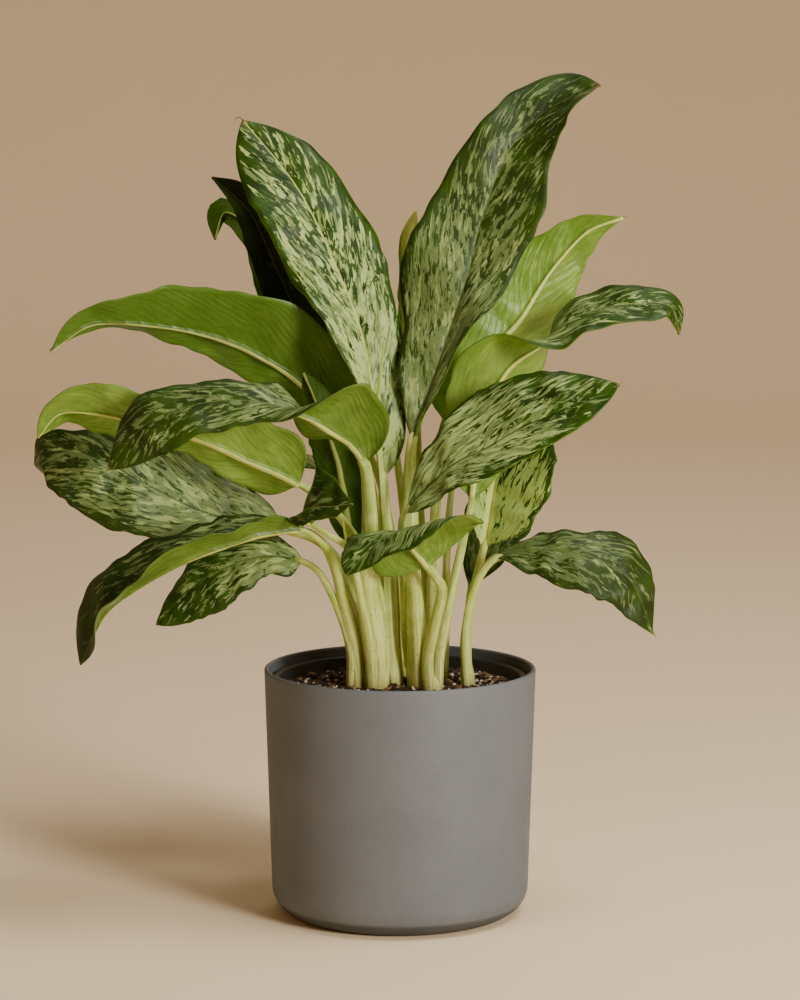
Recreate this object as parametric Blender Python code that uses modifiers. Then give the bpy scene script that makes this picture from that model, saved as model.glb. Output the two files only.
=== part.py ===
"""A chinese evergreen in a plain cylindrical cover pot.

Metres, +Z up. The origin is the middle of the pot's foot, and the plant's front looks along -Y.
"""

import math

import bmesh
import bpy
import numpy as np
from mathutils import Matrix, Vector, noise

MM = 0.001
GAP = 0.3 * MM

# Cover pot: a slightly flared cylinder with a rounded foot
POT_HEIGHT = 0.163
POT_RIM_RADIUS = 0.089
POT_SIDE_RADIUS = 0.0845
POT_FOOT_RADIUS = 0.0660
POT_FOOT_ROUND = 0.0185
POT_WALL = 0.0032
POT_FLOOR = 0.0060

# Nursery pot that stands inside it
LINER_RIM_RADIUS = 0.0836
LINER_RIM_TOP = 0.1570
LINER_RIM_DEPTH = 0.0080
LINER_RIM_WIDTH = 0.0030
LINER_BASE_RADIUS = 0.0630
LINER_WALL = 0.0014
LINER_FLOOR = 0.0020
LINER_DRAIN_HOLES = 6
LINER_DRAIN_RADIUS = 0.0045
LINER_DRAIN_CIRCLE = 0.0420
LINER_DRAIN_SIDES = 10

# Potting soil
SOIL_TOP = 0.1495
SOIL_CROWN = 0.0030
SOIL_RELIEF = 0.0022
SOIL_GRAIN = 0.0090
SOIL_RINGS = 4
STEM_DEPTH = 0.0110

# Turned pieces
ROUND_SEGMENTS = 40
INNER_FOOT_POINTS = 4
LIP_POINTS = 5
OUTER_FOOT_POINTS = 6
SHARP_ANGLE = 50
TURN_WELD = 0.01 * MM

# Blades
BLADE_THICKNESS = 0.80 * MM
RIB_THICKNESS = 3.20 * MM
BLADE_NECK = 2.40 * MM
BLADE_COLUMNS = (-1.0, -0.56, -0.13, 0.0, 0.13, 0.56, 1.0)
BLADE_ROW = 24.0
LEAST_ROWS = 7
BLADE_SEAT = 0.5
END_ROWS_CLOSER = 0.35
RIB_TIP_SHARE = 0.40
BASE_ROUNDING = 0.05
TIP_ROUNDING = 0.12
TIP_WELD = 0.02 * MM
LEFT_WAVE_LEAD = 2.1

# Leaf stalks
STALK_STEP = 20.0
STALK_SIDES = 6
STALK_END = 1.5
STALK_SPAN_STEPS = 12
STALK_RISE = 5.0
SLOPE_REACH = 1.5
CAP_WELD = 0.005 * MM
LEAST_STALK_STEPS = 4

# The crown that a shoot's stalks rise from: its place across the soil and its radius, in millimetres
SHOOTS = {
    "shoot_left": (-29.5, -13.5, 3.6),
    "shoot_front_left": (-16.0, -16.0, 6.8),
    "shoot_centre": (-5.0, -4.5, 7.0),
    "shoot_centre_right": (10.5, -9.0, 6.6),
    "shoot_front_right": (22.0, -22.0, 5.0),
    "shoot_right": (44.5, -0.5, 5.4),
    "shoot_back_right": (24.5, 16.5, 6.4),
    "shoot_back_left": (0.0, 22.5, 6.8),
}
CROWN_HALF_HEIGHT = 0.0135
CROWN_MIDDLE = 0.1470
CROWN_SEGMENTS = 10
CROWN_RINGS = 6

# One row for a leaf, in millimetres and degrees:
# foot is where its stalk leaves the soil, and thick is the stalk's radius from foot to neck.
# stalk holds the points that the stalk rises through, midrib those of the blade from base to tip.
# face is where the upper side looks, left and right are half widths, all from base to tip.
# fold is the rise of each half from the midrib, curl is how far it rolls back.
# tip sets how suddenly it narrows to its tip, seat how far it starts above its stalk.
# wave is the height, count and phase of the waves along its edge.
LEAVES = (
    dict(
        name="leaf_tall_left", shoot="shoot_centre", foot=(-3.5, -4), thick=(5.8, 6.0, 4.6, 3.2),
        stalk=((-6, -5, 182), (-7, -6, 235), (-10, -4, 271)),
        midrib=(
            (-11, -2, 288), (-16, 4, 333), (-25, 13, 381),
            (-40, 24, 420), (-67, 42, 474), (-104, 58, 519),
        ),
        face=((0.25, -0.92, 0.25), (0.3, -0.85, 0.35), (0.25, -0.85, 0.45), (0.1, -0.8, 0.6)),
        left=(5, 12, 26, 34, 36, 33), right=(18, 20, 28, 36, 30, 21), tip=0.08,
        fold=((60, 25, 8, 0), (20, 15, 10, 15)), curl=(20, 20), wave=(2.5, 2.5, 0.1),
    ),
    dict(
        name="leaf_tall_right", shoot="shoot_centre_right", foot=(10.5, -5), thick=(6.0, 6.8, 6.0, 3.4),
        stalk=((8, -8, 182), (7, -7, 235), (6, -4, 280)),
        midrib=(
            (8, -2, 313), (19, 2, 344), (30, 8, 377), (43, 16, 416),
            (55, 28, 460), (74, 40, 503), (99, 46, 527), (131, 44, 542),
        ),
        face=((-0.1, -0.97, 0.2), (-0.15, -0.93, 0.3), (-0.1, -0.85, 0.5), (-0.25, -0.75, 0.6)),
        left=(13, 28, 45, 34, 23, 26), right=(10, 12, 30, 41, 31, 38), tip=0.04,
        fold=((15, 10, 20, 35, 10), (80, 45, 15, 25, 50)), curl=(25, 15), wave=(3.0, 3.0, 0.5),
    ),
    dict(
        name="leaf_front_left", shoot="shoot_front_left", foot=(-14, -17), thick=(6.3, 7.4, 5.6, 4.0),
        seat=1.0,
        stalk=((-15.5, -21, 185), (-21, -28, 225), (-19, -33, 258), (-20, -36, 282)),
        midrib=(
            (-23, -38, 302), (-32, -43, 316), (-42, -50, 323), (-64, -60, 337),
            (-92, -66, 345), (-123, -69, 344), (-158, -70, 332), (-185, -66, 301),
        ),
        face=(
            (0.5, 0.6, 0.6), (0.25, 0.65, 0.7), (-0.1, -0.55, 0.85),
            (0, -0.75, 0.65), (-0.2, -0.85, 0.5), (-0.4, -0.8, 0.4),
        ),
        left=(37, 46, 16, 23, 29, 30), right=(20, 24, 20, 21, 26, 31),
        fold=((45, 35, 5, 5, 5), (45, 40, 25, 20, 10)), curl=(40, 60), wave=(2.0, 2.5, 0.3),
    ),
    dict(
        name="leaf_arching_left", shoot="shoot_back_left", foot=(-1, 18), thick=(4.2, 4.2, 3.4, 2.6),
        stalk=((-6, 22, 177), (-11, 26, 230), (-20, 32, 282)),
        midrib=(
            (-35, 38, 318), (-63, 40, 344), (-88, 37, 362), (-123, 30, 378),
            (-161, 22, 386), (-202, 14, 387), (-227, 8, 371),
        ),
        face=((0.3, 0.8, 0.5), (0.2, 0.8, 0.55), (0.1, 0.75, 0.65), (-0.1, 0.6, 0.75), (-0.6, 0.4, 0.6)),
        left=(33, 42, 46, 34, 26, 20), right=(15, 17, 22, 15, 14, 10),
        fold=((20, 15, 20, 20), (0, 0, 20, 30)), curl=(10, 30), wave=(3.0, 3.0, 0.0),
    ),
    dict(
        name="leaf_side_left", shoot="shoot_centre", foot=(-8, -6), thick=(4.4, 4.6, 3.0, 2.4),
        stalk=((-9, -8, 182), (-19, -12, 229), (-40, -16, 266)),
        midrib=(
            (-65, -18, 286), (-102, -24, 304), (-128, -28, 316), (-161, -30, 326),
            (-193, -28, 333), (-219, -24, 333), (-234, -20, 317),
        ),
        face=((0.2, 0.75, 0.6), (0.1, 0.8, 0.6), (0, 0.8, 0.6), (-0.2, 0.7, 0.6), (-0.6, 0.5, 0.5)),
        left=(46, 35, 26, 22, 26, 20), right=(42, 22, 20, 18, 26, 30),
        fold=((15,), (15,)), curl=(10, 20), wave=(3.0, 2.5, 0.2),
    ),
    dict(
        name="leaf_broad_left", shoot="shoot_front_left", foot=(-18, -12), thick=(4.5, 5.2, 3.6, 2.4),
        stalk=((-21, -6, 182), (-32, 0, 217), (-51, 5, 244)),
        midrib=(
            (-77, 6, 253), (-105, 4, 259), (-130, 2, 266), (-166, 0, 284),
            (-207, 2, 305), (-233, 10, 306), (-241, 22, 294),
        ),
        face=(
            (0.1, -0.75, 0.65), (0.05, -0.78, 0.62), (-0.1, -0.78, 0.6),
            (-0.5, -0.7, 0.5), (-0.8, -0.5, 0.3),
        ),
        left=(13, 20, 32, 40, 40, 48), right=(23, 31, 37, 30, 16, 22),
        fold=((5,), (10,)), curl=(30, 15), wave=(2.0, 2.0, 0.4),
    ),
    dict(
        name="leaf_drooping_left", shoot="shoot_left", foot=(-27, -13), thick=(3.8, 5.4, 3.4, 2.4),
        seat=0.7,
        stalk=((-31, -20, 185), (-37, -29, 214), (-43, -40, 238), (-52, -50, 255)),
        midrib=(
            (-64, -58, 262), (-86, -66, 261), (-112, -74, 254), (-138, -78, 244),
            (-163, -78, 230), (-187, -74, 211), (-204, -66, 176),
        ),
        face=((0, 0.15, 0.98), (0, 0, 1), (-0.1, -0.1, 1), (-0.4, -0.3, 0.85), (-0.75, -0.55, 0.3)),
        left=(14, 19, 25, 26, 23, 20), right=(13, 20, 25, 31, 35, 39),
        fold=((45, 40, 30, 10), (50, 50, 40, 10)), curl=(10, 20), wave=(1.5, 3.0, 0.6),
    ),
    dict(
        name="leaf_low_left", shoot="shoot_left", foot=(-32, -14), thick=(3.0, 3.3, 2.6, 2.2),
        stalk=((-32, -20, 178), (-40, -26, 205), (-47, -31, 222), (-53, -34, 232)),
        midrib=((-63, -38, 239), (-87, -44, 243), (-109, -46, 237), (-132, -46, 224), (-157, -44, 198)),
        face=((0.1, -0.5, 0.85), (0, -0.7, 0.7), (-0.2, -0.8, 0.55), (-0.3, -0.85, 0.4)),
        left=(20, 13, 22, 26, 23, 20), right=(14, 18, 21, 18, 13, 10),
        fold=((0, 5, 5), (25, 15, 10)), curl=(40, 40), wave=(1.5, 2.0, 0.1),
    ),
    dict(
        name="leaf_small_front", shoot="shoot_front_left", foot=(-18, -21), thick=(3.2, 3.6, 2.6, 1.8),
        stalk=((-20, -26, 179), (-25, -38, 213), (-34, -48, 249), (-47, -56, 259)),
        midrib=((-57, -62, 267), (-62, -72, 275), (-54, -86, 280), (-42, -98, 282), (-30, -106, 285)),
        face=((-0.3, 0.2, 0.9), (-0.2, -0.8, 0.5), (-0.1, -0.8, 0.5), (0.2, -0.8, 0.4)),
        left=(30, 31, 28, 23, 17, 13), right=(10, 11, 12, 11, 9, 7),
        fold=((10,), (10,)), curl=(20, 20), wave=(1.0, 2.0, 0.1),
    ),
    dict(
        name="leaf_front_centre", shoot="shoot_front_right", foot=(19, -24), thick=(3.6, 3.8, 3.6, 2.9),
        stalk=((18, -26, 172), (24, -32, 203), (27, -36, 220), (23, -40, 229)),
        midrib=((18, -44, 236), (7, -52, 251), (-2, -64, 262), (-17, -80, 254), (-34, -90, 237)),
        face=((0.25, 0.85, 0.4), (0.1, 0.1, 0.98), (-0.1, -0.5, 0.85), (-0.3, -0.8, 0.5)),
        left=(38, 53, 54, 39, 18, 10), right=(30, 33, 36, 34, 29, 26),
        fold=((30, 30, 20), (0,)), curl=(20, 40), wave=(1.0, 2.0, 0.3),
    ),
    dict(
        name="leaf_front_right", shoot="shoot_centre_right", foot=(11, -14), thick=(5.4, 6.2, 5.0, 3.0),
        seat=0.7,
        stalk=((11, -20, 184), (8, -26, 228), (2, -30, 258)),
        midrib=(
            (4, -34, 270), (18, -40, 287), (35, -48, 303), (55, -56, 314),
            (76, -62, 327), (103, -68, 340), (120, -70, 348), (138, -70, 356),
        ),
        face=((-0.3, -0.85, 0.4), (-0.2, -0.87, 0.45), (-0.15, -0.85, 0.5), (-0.1, -0.8, 0.6)),
        left=(6, 23, 47, 44, 38, 30), right=(20, 22, 28, 28, 25, 23),
        fold=((5, 0, 0), (45, 30, 15)), curl=(30, 10), wave=(1.5, 2.0, 0.5),
    ),
    dict(
        name="leaf_upright_right", shoot="shoot_back_right", foot=(24, 14), thick=(4.2, 4.2, 3.4, 2.6),
        stalk=((22, 20, 177), (22, 22, 230), (25, 28, 283)),
        midrib=(
            (30, 34, 322), (53, 42, 360), (78, 48, 386),
            (102, 54, 422), (125, 52, 446), (147, 46, 455),
        ),
        face=((-0.1, 0.9, 0.4), (0, 0.9, 0.4), (0.1, 0.85, 0.5), (0.3, 0.75, 0.6)),
        left=(19, 25, 30, 28, 19, 13), right=(25, 33, 39, 33, 21, 12),
        fold=((15,), (15, 15, 50)), curl=(10, 10), wave=(2.0, 2.0, 0.0),
    ),
    dict(
        name="leaf_arching_right", shoot="shoot_front_right", foot=(25, -20), thick=(3.2, 3.6, 3.0, 2.2),
        stalk=((26, -16, 177), (34, -12, 216), (41, -8, 248)),
        midrib=(
            (47, -4, 275), (53, 4, 319), (68, 8, 356), (91, 6, 375),
            (116, 0, 394), (148, -6, 402), (175, -8, 400), (181, -8, 382),
        ),
        face=(
            (0.2, 0.9, 0.1), (0, 0.85, 0.4), (0, 0.65, 0.75),
            (0.05, -0.3, 0.95), (0.2, -0.5, 0.8), (0.8, -0.4, 0.4),
        ),
        left=(18, 22, 27, 26, 24, 24), right=(22, 27, 36, 37, 28, 31),
        fold=((10, 10, 20), (10, 10, 10)), curl=(20, 20), wave=(2.0, 2.0, 0.7),
    ),
    dict(
        name="leaf_inner_right", shoot="shoot_right", foot=(46, 0), thick=(3.2, 3.2, 2.9, 2.6),
        stalk=((43, 2, 174), (47, 6, 206)),
        midrib=((55, 10, 242), (59, 13, 266), (63, 16, 288), (72, 22, 320), (85, 30, 342)),
        face=((-0.55, -0.8, 0.2), (-0.5, -0.8, 0.3), (-0.4, -0.8, 0.4)),
        left=(10, 15, 20, 20, 18, 16), right=(27, 37, 46, 46, 37, 33),
        fold=((70, 70, 60), (10, 10, 10)), curl=(10, 10), wave=(1.5, 2.0, 0.2),
    ),
    dict(
        name="leaf_shaded_right", shoot="shoot_right", foot=(43, 4), thick=(2.8, 2.8, 2.4, 2.0),
        stalk=((43, 10, 172), (45, 22, 190)),
        midrib=((47, 34, 210), (57, 42, 241), (68, 50, 270), (80, 60, 299), (94, 72, 325)),
        face=((-0.2, -0.9, 0.3), (-0.2, -0.9, 0.4), (-0.2, -0.8, 0.5)),
        left=(7, 13, 20, 23, 20, 16), right=(9, 17, 27, 30, 26, 21),
        fold=((20,), (10,)), curl=(20, 20), wave=(1.5, 2.0, 0.2),
    ),
    dict(
        name="leaf_low_right", shoot="shoot_right", foot=(44, -5), thick=(3.8, 3.6, 3.1, 2.8), seat=0.7,
        stalk=((43, -8, 175), (44, -12, 199), (48, -14, 216), (53, -16, 228)),
        midrib=(
            (62, -18, 238), (84, -24, 244), (106, -30, 244),
            (128, -34, 239), (148, -34, 226), (164, -30, 190),
        ),
        face=((-0.2, -0.3, 0.95), (0, -0.6, 0.8), (0.1, -0.7, 0.7), (0.4, -0.7, 0.55), (0.7, -0.6, 0.3)),
        left=(15, 17, 19, 31, 20, 9), right=(11, 19, 27, 27, 22, 18),
        fold=((10,), (0,)), curl=(25, 25), wave=(1.5, 2.0, 0.2),
    ),
    dict(
        name="leaf_dark_back_left", shoot="shoot_back_left", foot=(-4, 22), thick=(3.4, 3.4, 2.8, 2.2),
        stalk=((-3, 32, 175), (-10, 42, 228), (-22, 54, 280)),
        midrib=((-37, 66, 325), (-64, 76, 378), (-84, 84, 421), (-102, 90, 458), (-126, 90, 480)),
        face=((-0.3, -0.8, 0.4), (-0.5, -0.7, 0.4), (-0.5, -0.6, 0.6)),
        left=(10, 14, 17, 16, 13, 10), right=(17, 24, 30, 29, 23, 18),
        fold=((40,), (40,)), curl=(10, 10), wave=(2.0, 2.0, 0.2),
    ),
    dict(
        name="leaf_curled_back_left", shoot="shoot_back_left", foot=(1, 25), thick=(3.2, 3.2, 2.6, 2.0),
        stalk=((1, 36, 175), (-3, 50, 226), (-14, 68, 278)),
        midrib=(
            (-33, 84, 320), (-60, 98, 373), (-88, 106, 422),
            (-109, 112, 450), (-120, 114, 455), (-126, 108, 437),
        ),
        face=((0.2, 0.7, 0.6), (0.1, 0.6, 0.7), (-0.8, 0.4, 0.4), (-0.6, 0.8, -0.2)),
        left=(6, 9, 12, 13, 15, 19), right=(12, 16, 21, 19, 12, 10),
        fold=((20,), (20,)), curl=(10, 10), wave=(2.0, 2.0, 0.2),
    ),
    dict(
        name="leaf_narrow_back", shoot="shoot_back_right", foot=(19, 18), thick=(3.2, 3.2, 2.4, 1.8),
        stalk=((20, 26, 176), (16, 34, 229), (13, 44, 281)),
        midrib=((12, 52, 320), (9, 60, 366), (7, 66, 412), (5, 68, 440), (11, 66, 459)),
        face=((0.1, 0.9, 0.3), (0.2, 0.9, 0.3)),
        left=(9, 13, 16, 15, 12, 10), right=(7, 10, 13, 13, 10, 8),
        fold=((40,), (40,)), curl=(10, 10), wave=(1.0, 2.0, 0.2),
    ),
    dict(
        name="leaf_inner_left", shoot="shoot_centre", foot=(-7, 0), thick=(3.8, 3.6, 2.8, 2.0),
        stalk=((-13, 4, 173), (-23, 6, 206)),
        midrib=((-32, 10, 242), (-36, 13, 272), (-42, 16, 301), (-54, 18, 334), (-63, 18, 355)),
        face=((0.1, 0.9, 0.2), (0, 0.9, 0.3), (0, 0.9, 0.4)),
        left=(12, 15, 18, 18, 15, 13), right=(12, 15, 18, 18, 15, 13),
        fold=((30,), (30,)), curl=(10, 10), wave=(1.0, 2.0, 0.2),
    ),
    dict(
        name="leaf_rear_left", shoot="shoot_back_left", foot=(5, 22), thick=(3.4, 3.4, 2.8, 2.2),
        stalk=((5, 40, 174), (5, 60, 225), (0, 84, 276)),
        midrib=((-8, 106, 318), (-28, 140, 360), (-50, 176, 384), (-66, 208, 380), (-76, 232, 350)),
        face=((0.3, -0.6, 0.75), (0.2, 0, 1), (-0.2, 0.6, 0.8), (-0.3, 0.8, 0.4)),
        left=(22, 28, 34, 33, 28, 24), right=(22, 28, 34, 33, 28, 24),
        fold=((20,), (20,)), curl=(20, 20), wave=(2.0, 2.0, 0.2),
    ),
    dict(
        name="leaf_rear_right", shoot="shoot_back_right", foot=(26, 19), thick=(3.4, 3.4, 2.8, 2.2),
        stalk=((25, 34, 175), (23, 52, 226), (26, 77, 277)),
        midrib=((40, 92, 312), (52, 122, 350), (66, 156, 372), (78, 190, 366), (88, 216, 336)),
        face=((-0.3, -0.6, 0.75), (-0.2, 0, 1), (0.2, 0.6, 0.8), (0.3, 0.8, 0.4)),
        left=(21, 26, 32, 31, 27, 23), right=(21, 26, 32, 31, 27, 23),
        fold=((20,), (20,)), curl=(20, 20), wave=(2.0, 2.0, 0.6),
    ),
    dict(
        name="leaf_rear_low_left", shoot="shoot_back_left", foot=(-3, 27), thick=(3.0, 3.0, 2.5, 2.0),
        stalk=((-4, 40, 174), (-9, 56, 226), (-25, 76, 264)),
        midrib=((-48, 90, 282), (-75, 108, 290), (-104, 126, 292), (-135, 140, 282), (-159, 148, 261)),
        face=((0.2, -0.1, 1), (0, 0.1, 1), (-0.4, 0.4, 0.8), (-0.7, 0.6, 0.3)),
        left=(17, 21, 26, 25, 22, 19), right=(17, 21, 26, 25, 22, 19),
        fold=((15,), (15,)), curl=(30, 30), wave=(2.0, 2.0, 0.3),
    ),
    dict(
        name="leaf_rear_low_right", shoot="shoot_back_right", foot=(29, 15), thick=(3.0, 3.0, 2.5, 2.0),
        seat=0.9,
        stalk=((30, 28, 176), (31, 42, 228), (33, 56, 259)),
        midrib=((37, 70, 278), (55, 96, 294), (76, 120, 305), (97, 142, 309), (111, 160, 302)),
        face=((-0.2, -0.1, 1), (0, 0.1, 1), (0.4, 0.4, 0.8), (0.7, 0.6, 0.3)),
        left=(16, 20, 24, 23, 20, 17), right=(16, 20, 24, 23, 20, 17),
        fold=((15,), (15,)), curl=(30, 30), wave=(2.0, 2.0, 0.8),
    ),
)

# Stalks with no blade: the rolled new leaf, and the tip of a sheath
SPIKES = (
    dict(
        shoot="shoot_centre", foot=(-4, -9), thick=(3.0, 2.8, 1.8, 0.5),
        stalk=(
            (-7, -10, 182), (-9, -11, 235), (-12, -10, 290),
            (-15, -7, 325), (-13, -5, 352), (-10, -2, 378),
        ),
    ),
    dict(
        shoot="shoot_front_left", foot=(-20, -16), thick=(3.2, 3.6, 2.2, 0.6),
        stalk=((-20, -13, 182), (-26, -17, 215), (-33, -20, 240), (-37, -22, 262)),
    ),
)

COLOURS = {
    "pot": ((0.150, 0.145, 0.140), 0.62),
    "liner": ((0.020, 0.019, 0.018), 0.50),
    "soil": ((0.060, 0.036, 0.022), 0.95),
    "stem": ((0.480, 0.520, 0.190), 0.45),
    "leaf": ((0.170, 0.300, 0.110), 0.40),
}


def clear_scene():
    for thing in list(bpy.data.objects):
        bpy.data.objects.remove(thing, do_unlink=True)


def new_collection(name):
    made = bpy.data.collections.new(name)
    bpy.context.scene.collection.children.link(made)
    return made


def new_material(name, look):
    colour, roughness = COLOURS[look]
    made = bpy.data.materials.new(name)
    made.use_nodes = True
    shader = made.node_tree.nodes["Principled BSDF"]
    shader.inputs["Base Color"].default_value = (*colour, 1.0)
    shader.inputs["Roughness"].default_value = roughness
    shader.inputs["Metallic"].default_value = 0.0
    made.diffuse_color = (*colour, 1.0)
    return made


def new_object(name, mesh, collection, look=None):
    made = bpy.data.objects.new(name, mesh)
    collection.objects.link(made)
    if look:
        mesh.materials.append(new_material(name + "_finish", look))
        mesh.shade_smooth()
    return made


def apply_modifiers(thing):
    """Puts the object's evaluated mesh in place of its modifiers."""
    graph = bpy.context.evaluated_depsgraph_get()
    mesh = bpy.data.meshes.new_from_object(thing.evaluated_get(graph))
    old = thing.data
    thing.modifiers.clear()
    thing.data = mesh
    bpy.data.meshes.remove(old)


def turned(name, profile, collection, look):
    """A solid turned about Z from a profile that runs up its inside and down its outside."""
    mesh = bpy.data.meshes.new(name)
    edges = [(i, i + 1) for i in range(len(profile) - 1)]
    mesh.from_pydata([(radius, 0.0, height) for radius, height in profile], edges, [])
    made = new_object(name, mesh, collection)
    screw = made.modifiers.new("turn", "SCREW")
    screw.steps = ROUND_SEGMENTS
    screw.render_steps = ROUND_SEGMENTS
    screw.use_merge_vertices = True
    screw.merge_threshold = TURN_WELD
    apply_modifiers(made)
    made.data.materials.append(new_material(name + "_finish", look))
    made.data.shade_smooth()
    made.data.set_sharp_from_angle(angle=math.radians(SHARP_ANGLE))
    return made


def arc(centre, radii, start, end, count):
    """Points of an elliptical arc, from start to end degrees."""
    angles = np.radians(np.linspace(start, end, count))
    return [(centre[0] + radii[0] * math.cos(a), centre[1] + radii[1] * math.sin(a)) for a in angles]


def make_cover_pot(collection):
    lip = POT_WALL / 2
    inner_round = POT_FOOT_ROUND - POT_WALL
    profile = [(0.0, POT_FLOOR)]
    outer_round = (POT_SIDE_RADIUS - POT_FOOT_RADIUS, POT_FOOT_ROUND)
    inside_foot = (POT_FOOT_RADIUS, POT_FLOOR + inner_round)
    profile += arc(inside_foot, (inner_round, inner_round), -90, 0, INNER_FOOT_POINTS)
    profile += arc((POT_RIM_RADIUS - lip, POT_HEIGHT - lip), (lip, lip), 180, 0, LIP_POINTS)
    profile += arc((POT_FOOT_RADIUS, POT_FOOT_ROUND), outer_round, 0, -90, OUTER_FOOT_POINTS)
    profile += [(0.0, 0.0)]
    return turned("cover_pot", profile, collection, "pot")


def liner_radius(height):
    """Outer radius of the nursery pot's wall at a height."""
    low = POT_FLOOR + GAP
    share = (height - low) / (LINER_RIM_TOP - low)
    top = LINER_RIM_RADIUS - LINER_RIM_WIDTH
    return LINER_BASE_RADIUS + (top - LINER_BASE_RADIUS) * share


def make_nursery_pot(collection, cutters):
    low = POT_FLOOR + GAP
    under_rim = LINER_RIM_TOP - LINER_RIM_DEPTH
    floor = low + LINER_FLOOR
    profile = [
        (0.0, floor),
        (liner_radius(floor) - LINER_WALL, floor),
        (liner_radius(LINER_RIM_TOP) - LINER_WALL, LINER_RIM_TOP),
        (LINER_RIM_RADIUS - LINER_WALL / 2, LINER_RIM_TOP),
        (LINER_RIM_RADIUS, LINER_RIM_TOP - LINER_WALL / 2),
        (LINER_RIM_RADIUS, under_rim),
        (liner_radius(under_rim), under_rim),
        (liner_radius(low), low),
        (0.0, low),
    ]
    pot = turned("nursery_pot", profile, collection, "liner")
    for index in range(LINER_DRAIN_HOLES):
        angle = 2 * math.pi * index / LINER_DRAIN_HOLES
        x = LINER_DRAIN_CIRCLE * math.cos(angle)
        y = LINER_DRAIN_CIRCLE * math.sin(angle)
        bpy.ops.mesh.primitive_cylinder_add(
            vertices=LINER_DRAIN_SIDES,
            radius=LINER_DRAIN_RADIUS,
            depth=4 * LINER_FLOOR,
            location=(x, y, low + LINER_FLOOR / 2),
        )
        hole = bpy.context.active_object
        hole.name = f"drain_hole_{index}"
        move_to(hole, cutters)
    cut = pot.modifiers.new("drain_holes", "BOOLEAN")
    cut.operation = "DIFFERENCE"
    cut.operand_type = "COLLECTION"
    cut.collection = cutters
    return pot


def move_to(thing, collection):
    for old in list(thing.users_collection):
        old.objects.unlink(thing)
    collection.objects.link(thing)
    thing.hide_render = True
    thing.display_type = "WIRE"


def make_soil(collection, holes):
    """A plug of soil with a low crown and a lumpy top, with a plain hole for each stalk."""
    low = POT_FLOOR + GAP + LINER_FLOOR + GAP
    slack = LINER_WALL + GAP
    edge = liner_radius(SOIL_TOP) - slack
    top = [(edge * i / SOIL_RINGS, SOIL_TOP) for i in range(SOIL_RINGS)]
    profile = top + [(edge, SOIL_TOP), (liner_radius(low) - slack, low), (0.0, low)]
    soil = turned("potting_soil", profile, collection, "soil")
    for vertex in soil.data.vertices:
        radius = math.hypot(vertex.co.x, vertex.co.y) / edge
        if vertex.co.z > SOIL_TOP - MM:
            lump = noise.noise(Vector((vertex.co.x, vertex.co.y, 0.0)) / SOIL_GRAIN)
            vertex.co.z += (1 - radius * radius) * (SOIL_CROWN + SOIL_RELIEF * lump)
    cut = soil.modifiers.new("stem_holes", "BOOLEAN")
    cut.operation = "DIFFERENCE"
    cut.solver = "MANIFOLD"
    cut.operand_type = "COLLECTION"
    cut.collection = holes
    return soil


def smooth_through(points):
    """A smooth curve through the points, in many short steps."""
    points = np.asarray(points, float)
    points = np.vstack([2 * points[0] - points[1], points, 2 * points[-1] - points[-2]])
    t = np.linspace(0.0, 1.0, STALK_SPAN_STEPS, endpoint=False)[:, None]
    curve = []
    for a, b, c, d in zip(points, points[1:], points[2:], points[3:]):
        before, span, after = (np.linalg.norm(q - p) ** 0.5 for p, q in ((a, b), (b, c), (c, d)))
        leave = c - b + span * ((b - a) / before - (c - a) / (before + span))
        arrive = c - b + span * ((d - c) / after - (d - b) / (span + after))
        ease = t * t * (3 - 2 * t)
        curve.append(b + (c - b) * ease + leave * t * (1 - t) ** 2 - arrive * t * t * (1 - t))
    return np.vstack([*curve, points[-2]])


def blend(values, share):
    """The value at a share of a list of evenly spaced values, eased from one to the next."""
    values = np.asarray(values, float)
    if len(values) == 1:
        return values[0]
    place = share * (len(values) - 1)
    low = min(int(place), len(values) - 2)
    step = place - low
    step = step * step * (3 - 2 * step)
    return values[low] * (1 - step) + values[low + 1] * step


def stalk_points(leaf):
    """The stalk's points in millimetres, from its sunk foot up."""
    x, y = leaf["foot"]
    ground = SOIL_TOP / MM
    return [(x, y, ground - STEM_DEPTH / MM), (x, y, ground + STALK_RISE)] + list(leaf["stalk"])


class Spine:
    """The line of a leaf's stalk and midrib, measured along its length."""

    def __init__(self, leaf):
        stalk = stalk_points(leaf)
        self.points = smooth_through(stalk + list(leaf.get("midrib", ())))
        steps = np.linalg.norm(np.diff(self.points, axis=0), axis=1)
        self.lengths = np.concatenate([[0.0], np.cumsum(steps)])
        self.whole = self.lengths[-1]
        self.base = self.lengths[len(stalk) * STALK_SPAN_STEPS] if "midrib" in leaf else self.whole
        self.face = leaf.get("face")

    def at(self, length):
        return np.array([np.interp(length, self.lengths, self.points[:, k]) for k in range(3)])

    def direction(self, length):
        ahead = self.at(min(length + SLOPE_REACH, self.whole)) - self.at(max(length - SLOPE_REACH, 0.0))
        return ahead / np.linalg.norm(ahead)

    def frame(self, share):
        """Place, upper side and right side at a share of the blade's length."""
        length = self.base + share * (self.whole - self.base)
        along = self.direction(length)
        face = blend(self.face, share)
        face = face - face.dot(along) * along
        face = face / np.linalg.norm(face)
        return self.at(length), face, np.cross(along, face)


def ends(share, tip):
    """Rounds the blade off at its base and draws it out to its tip."""
    return (1 - math.exp(-share / BASE_ROUNDING)) * (1 - math.exp(-(1 - share) / tip))


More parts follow.
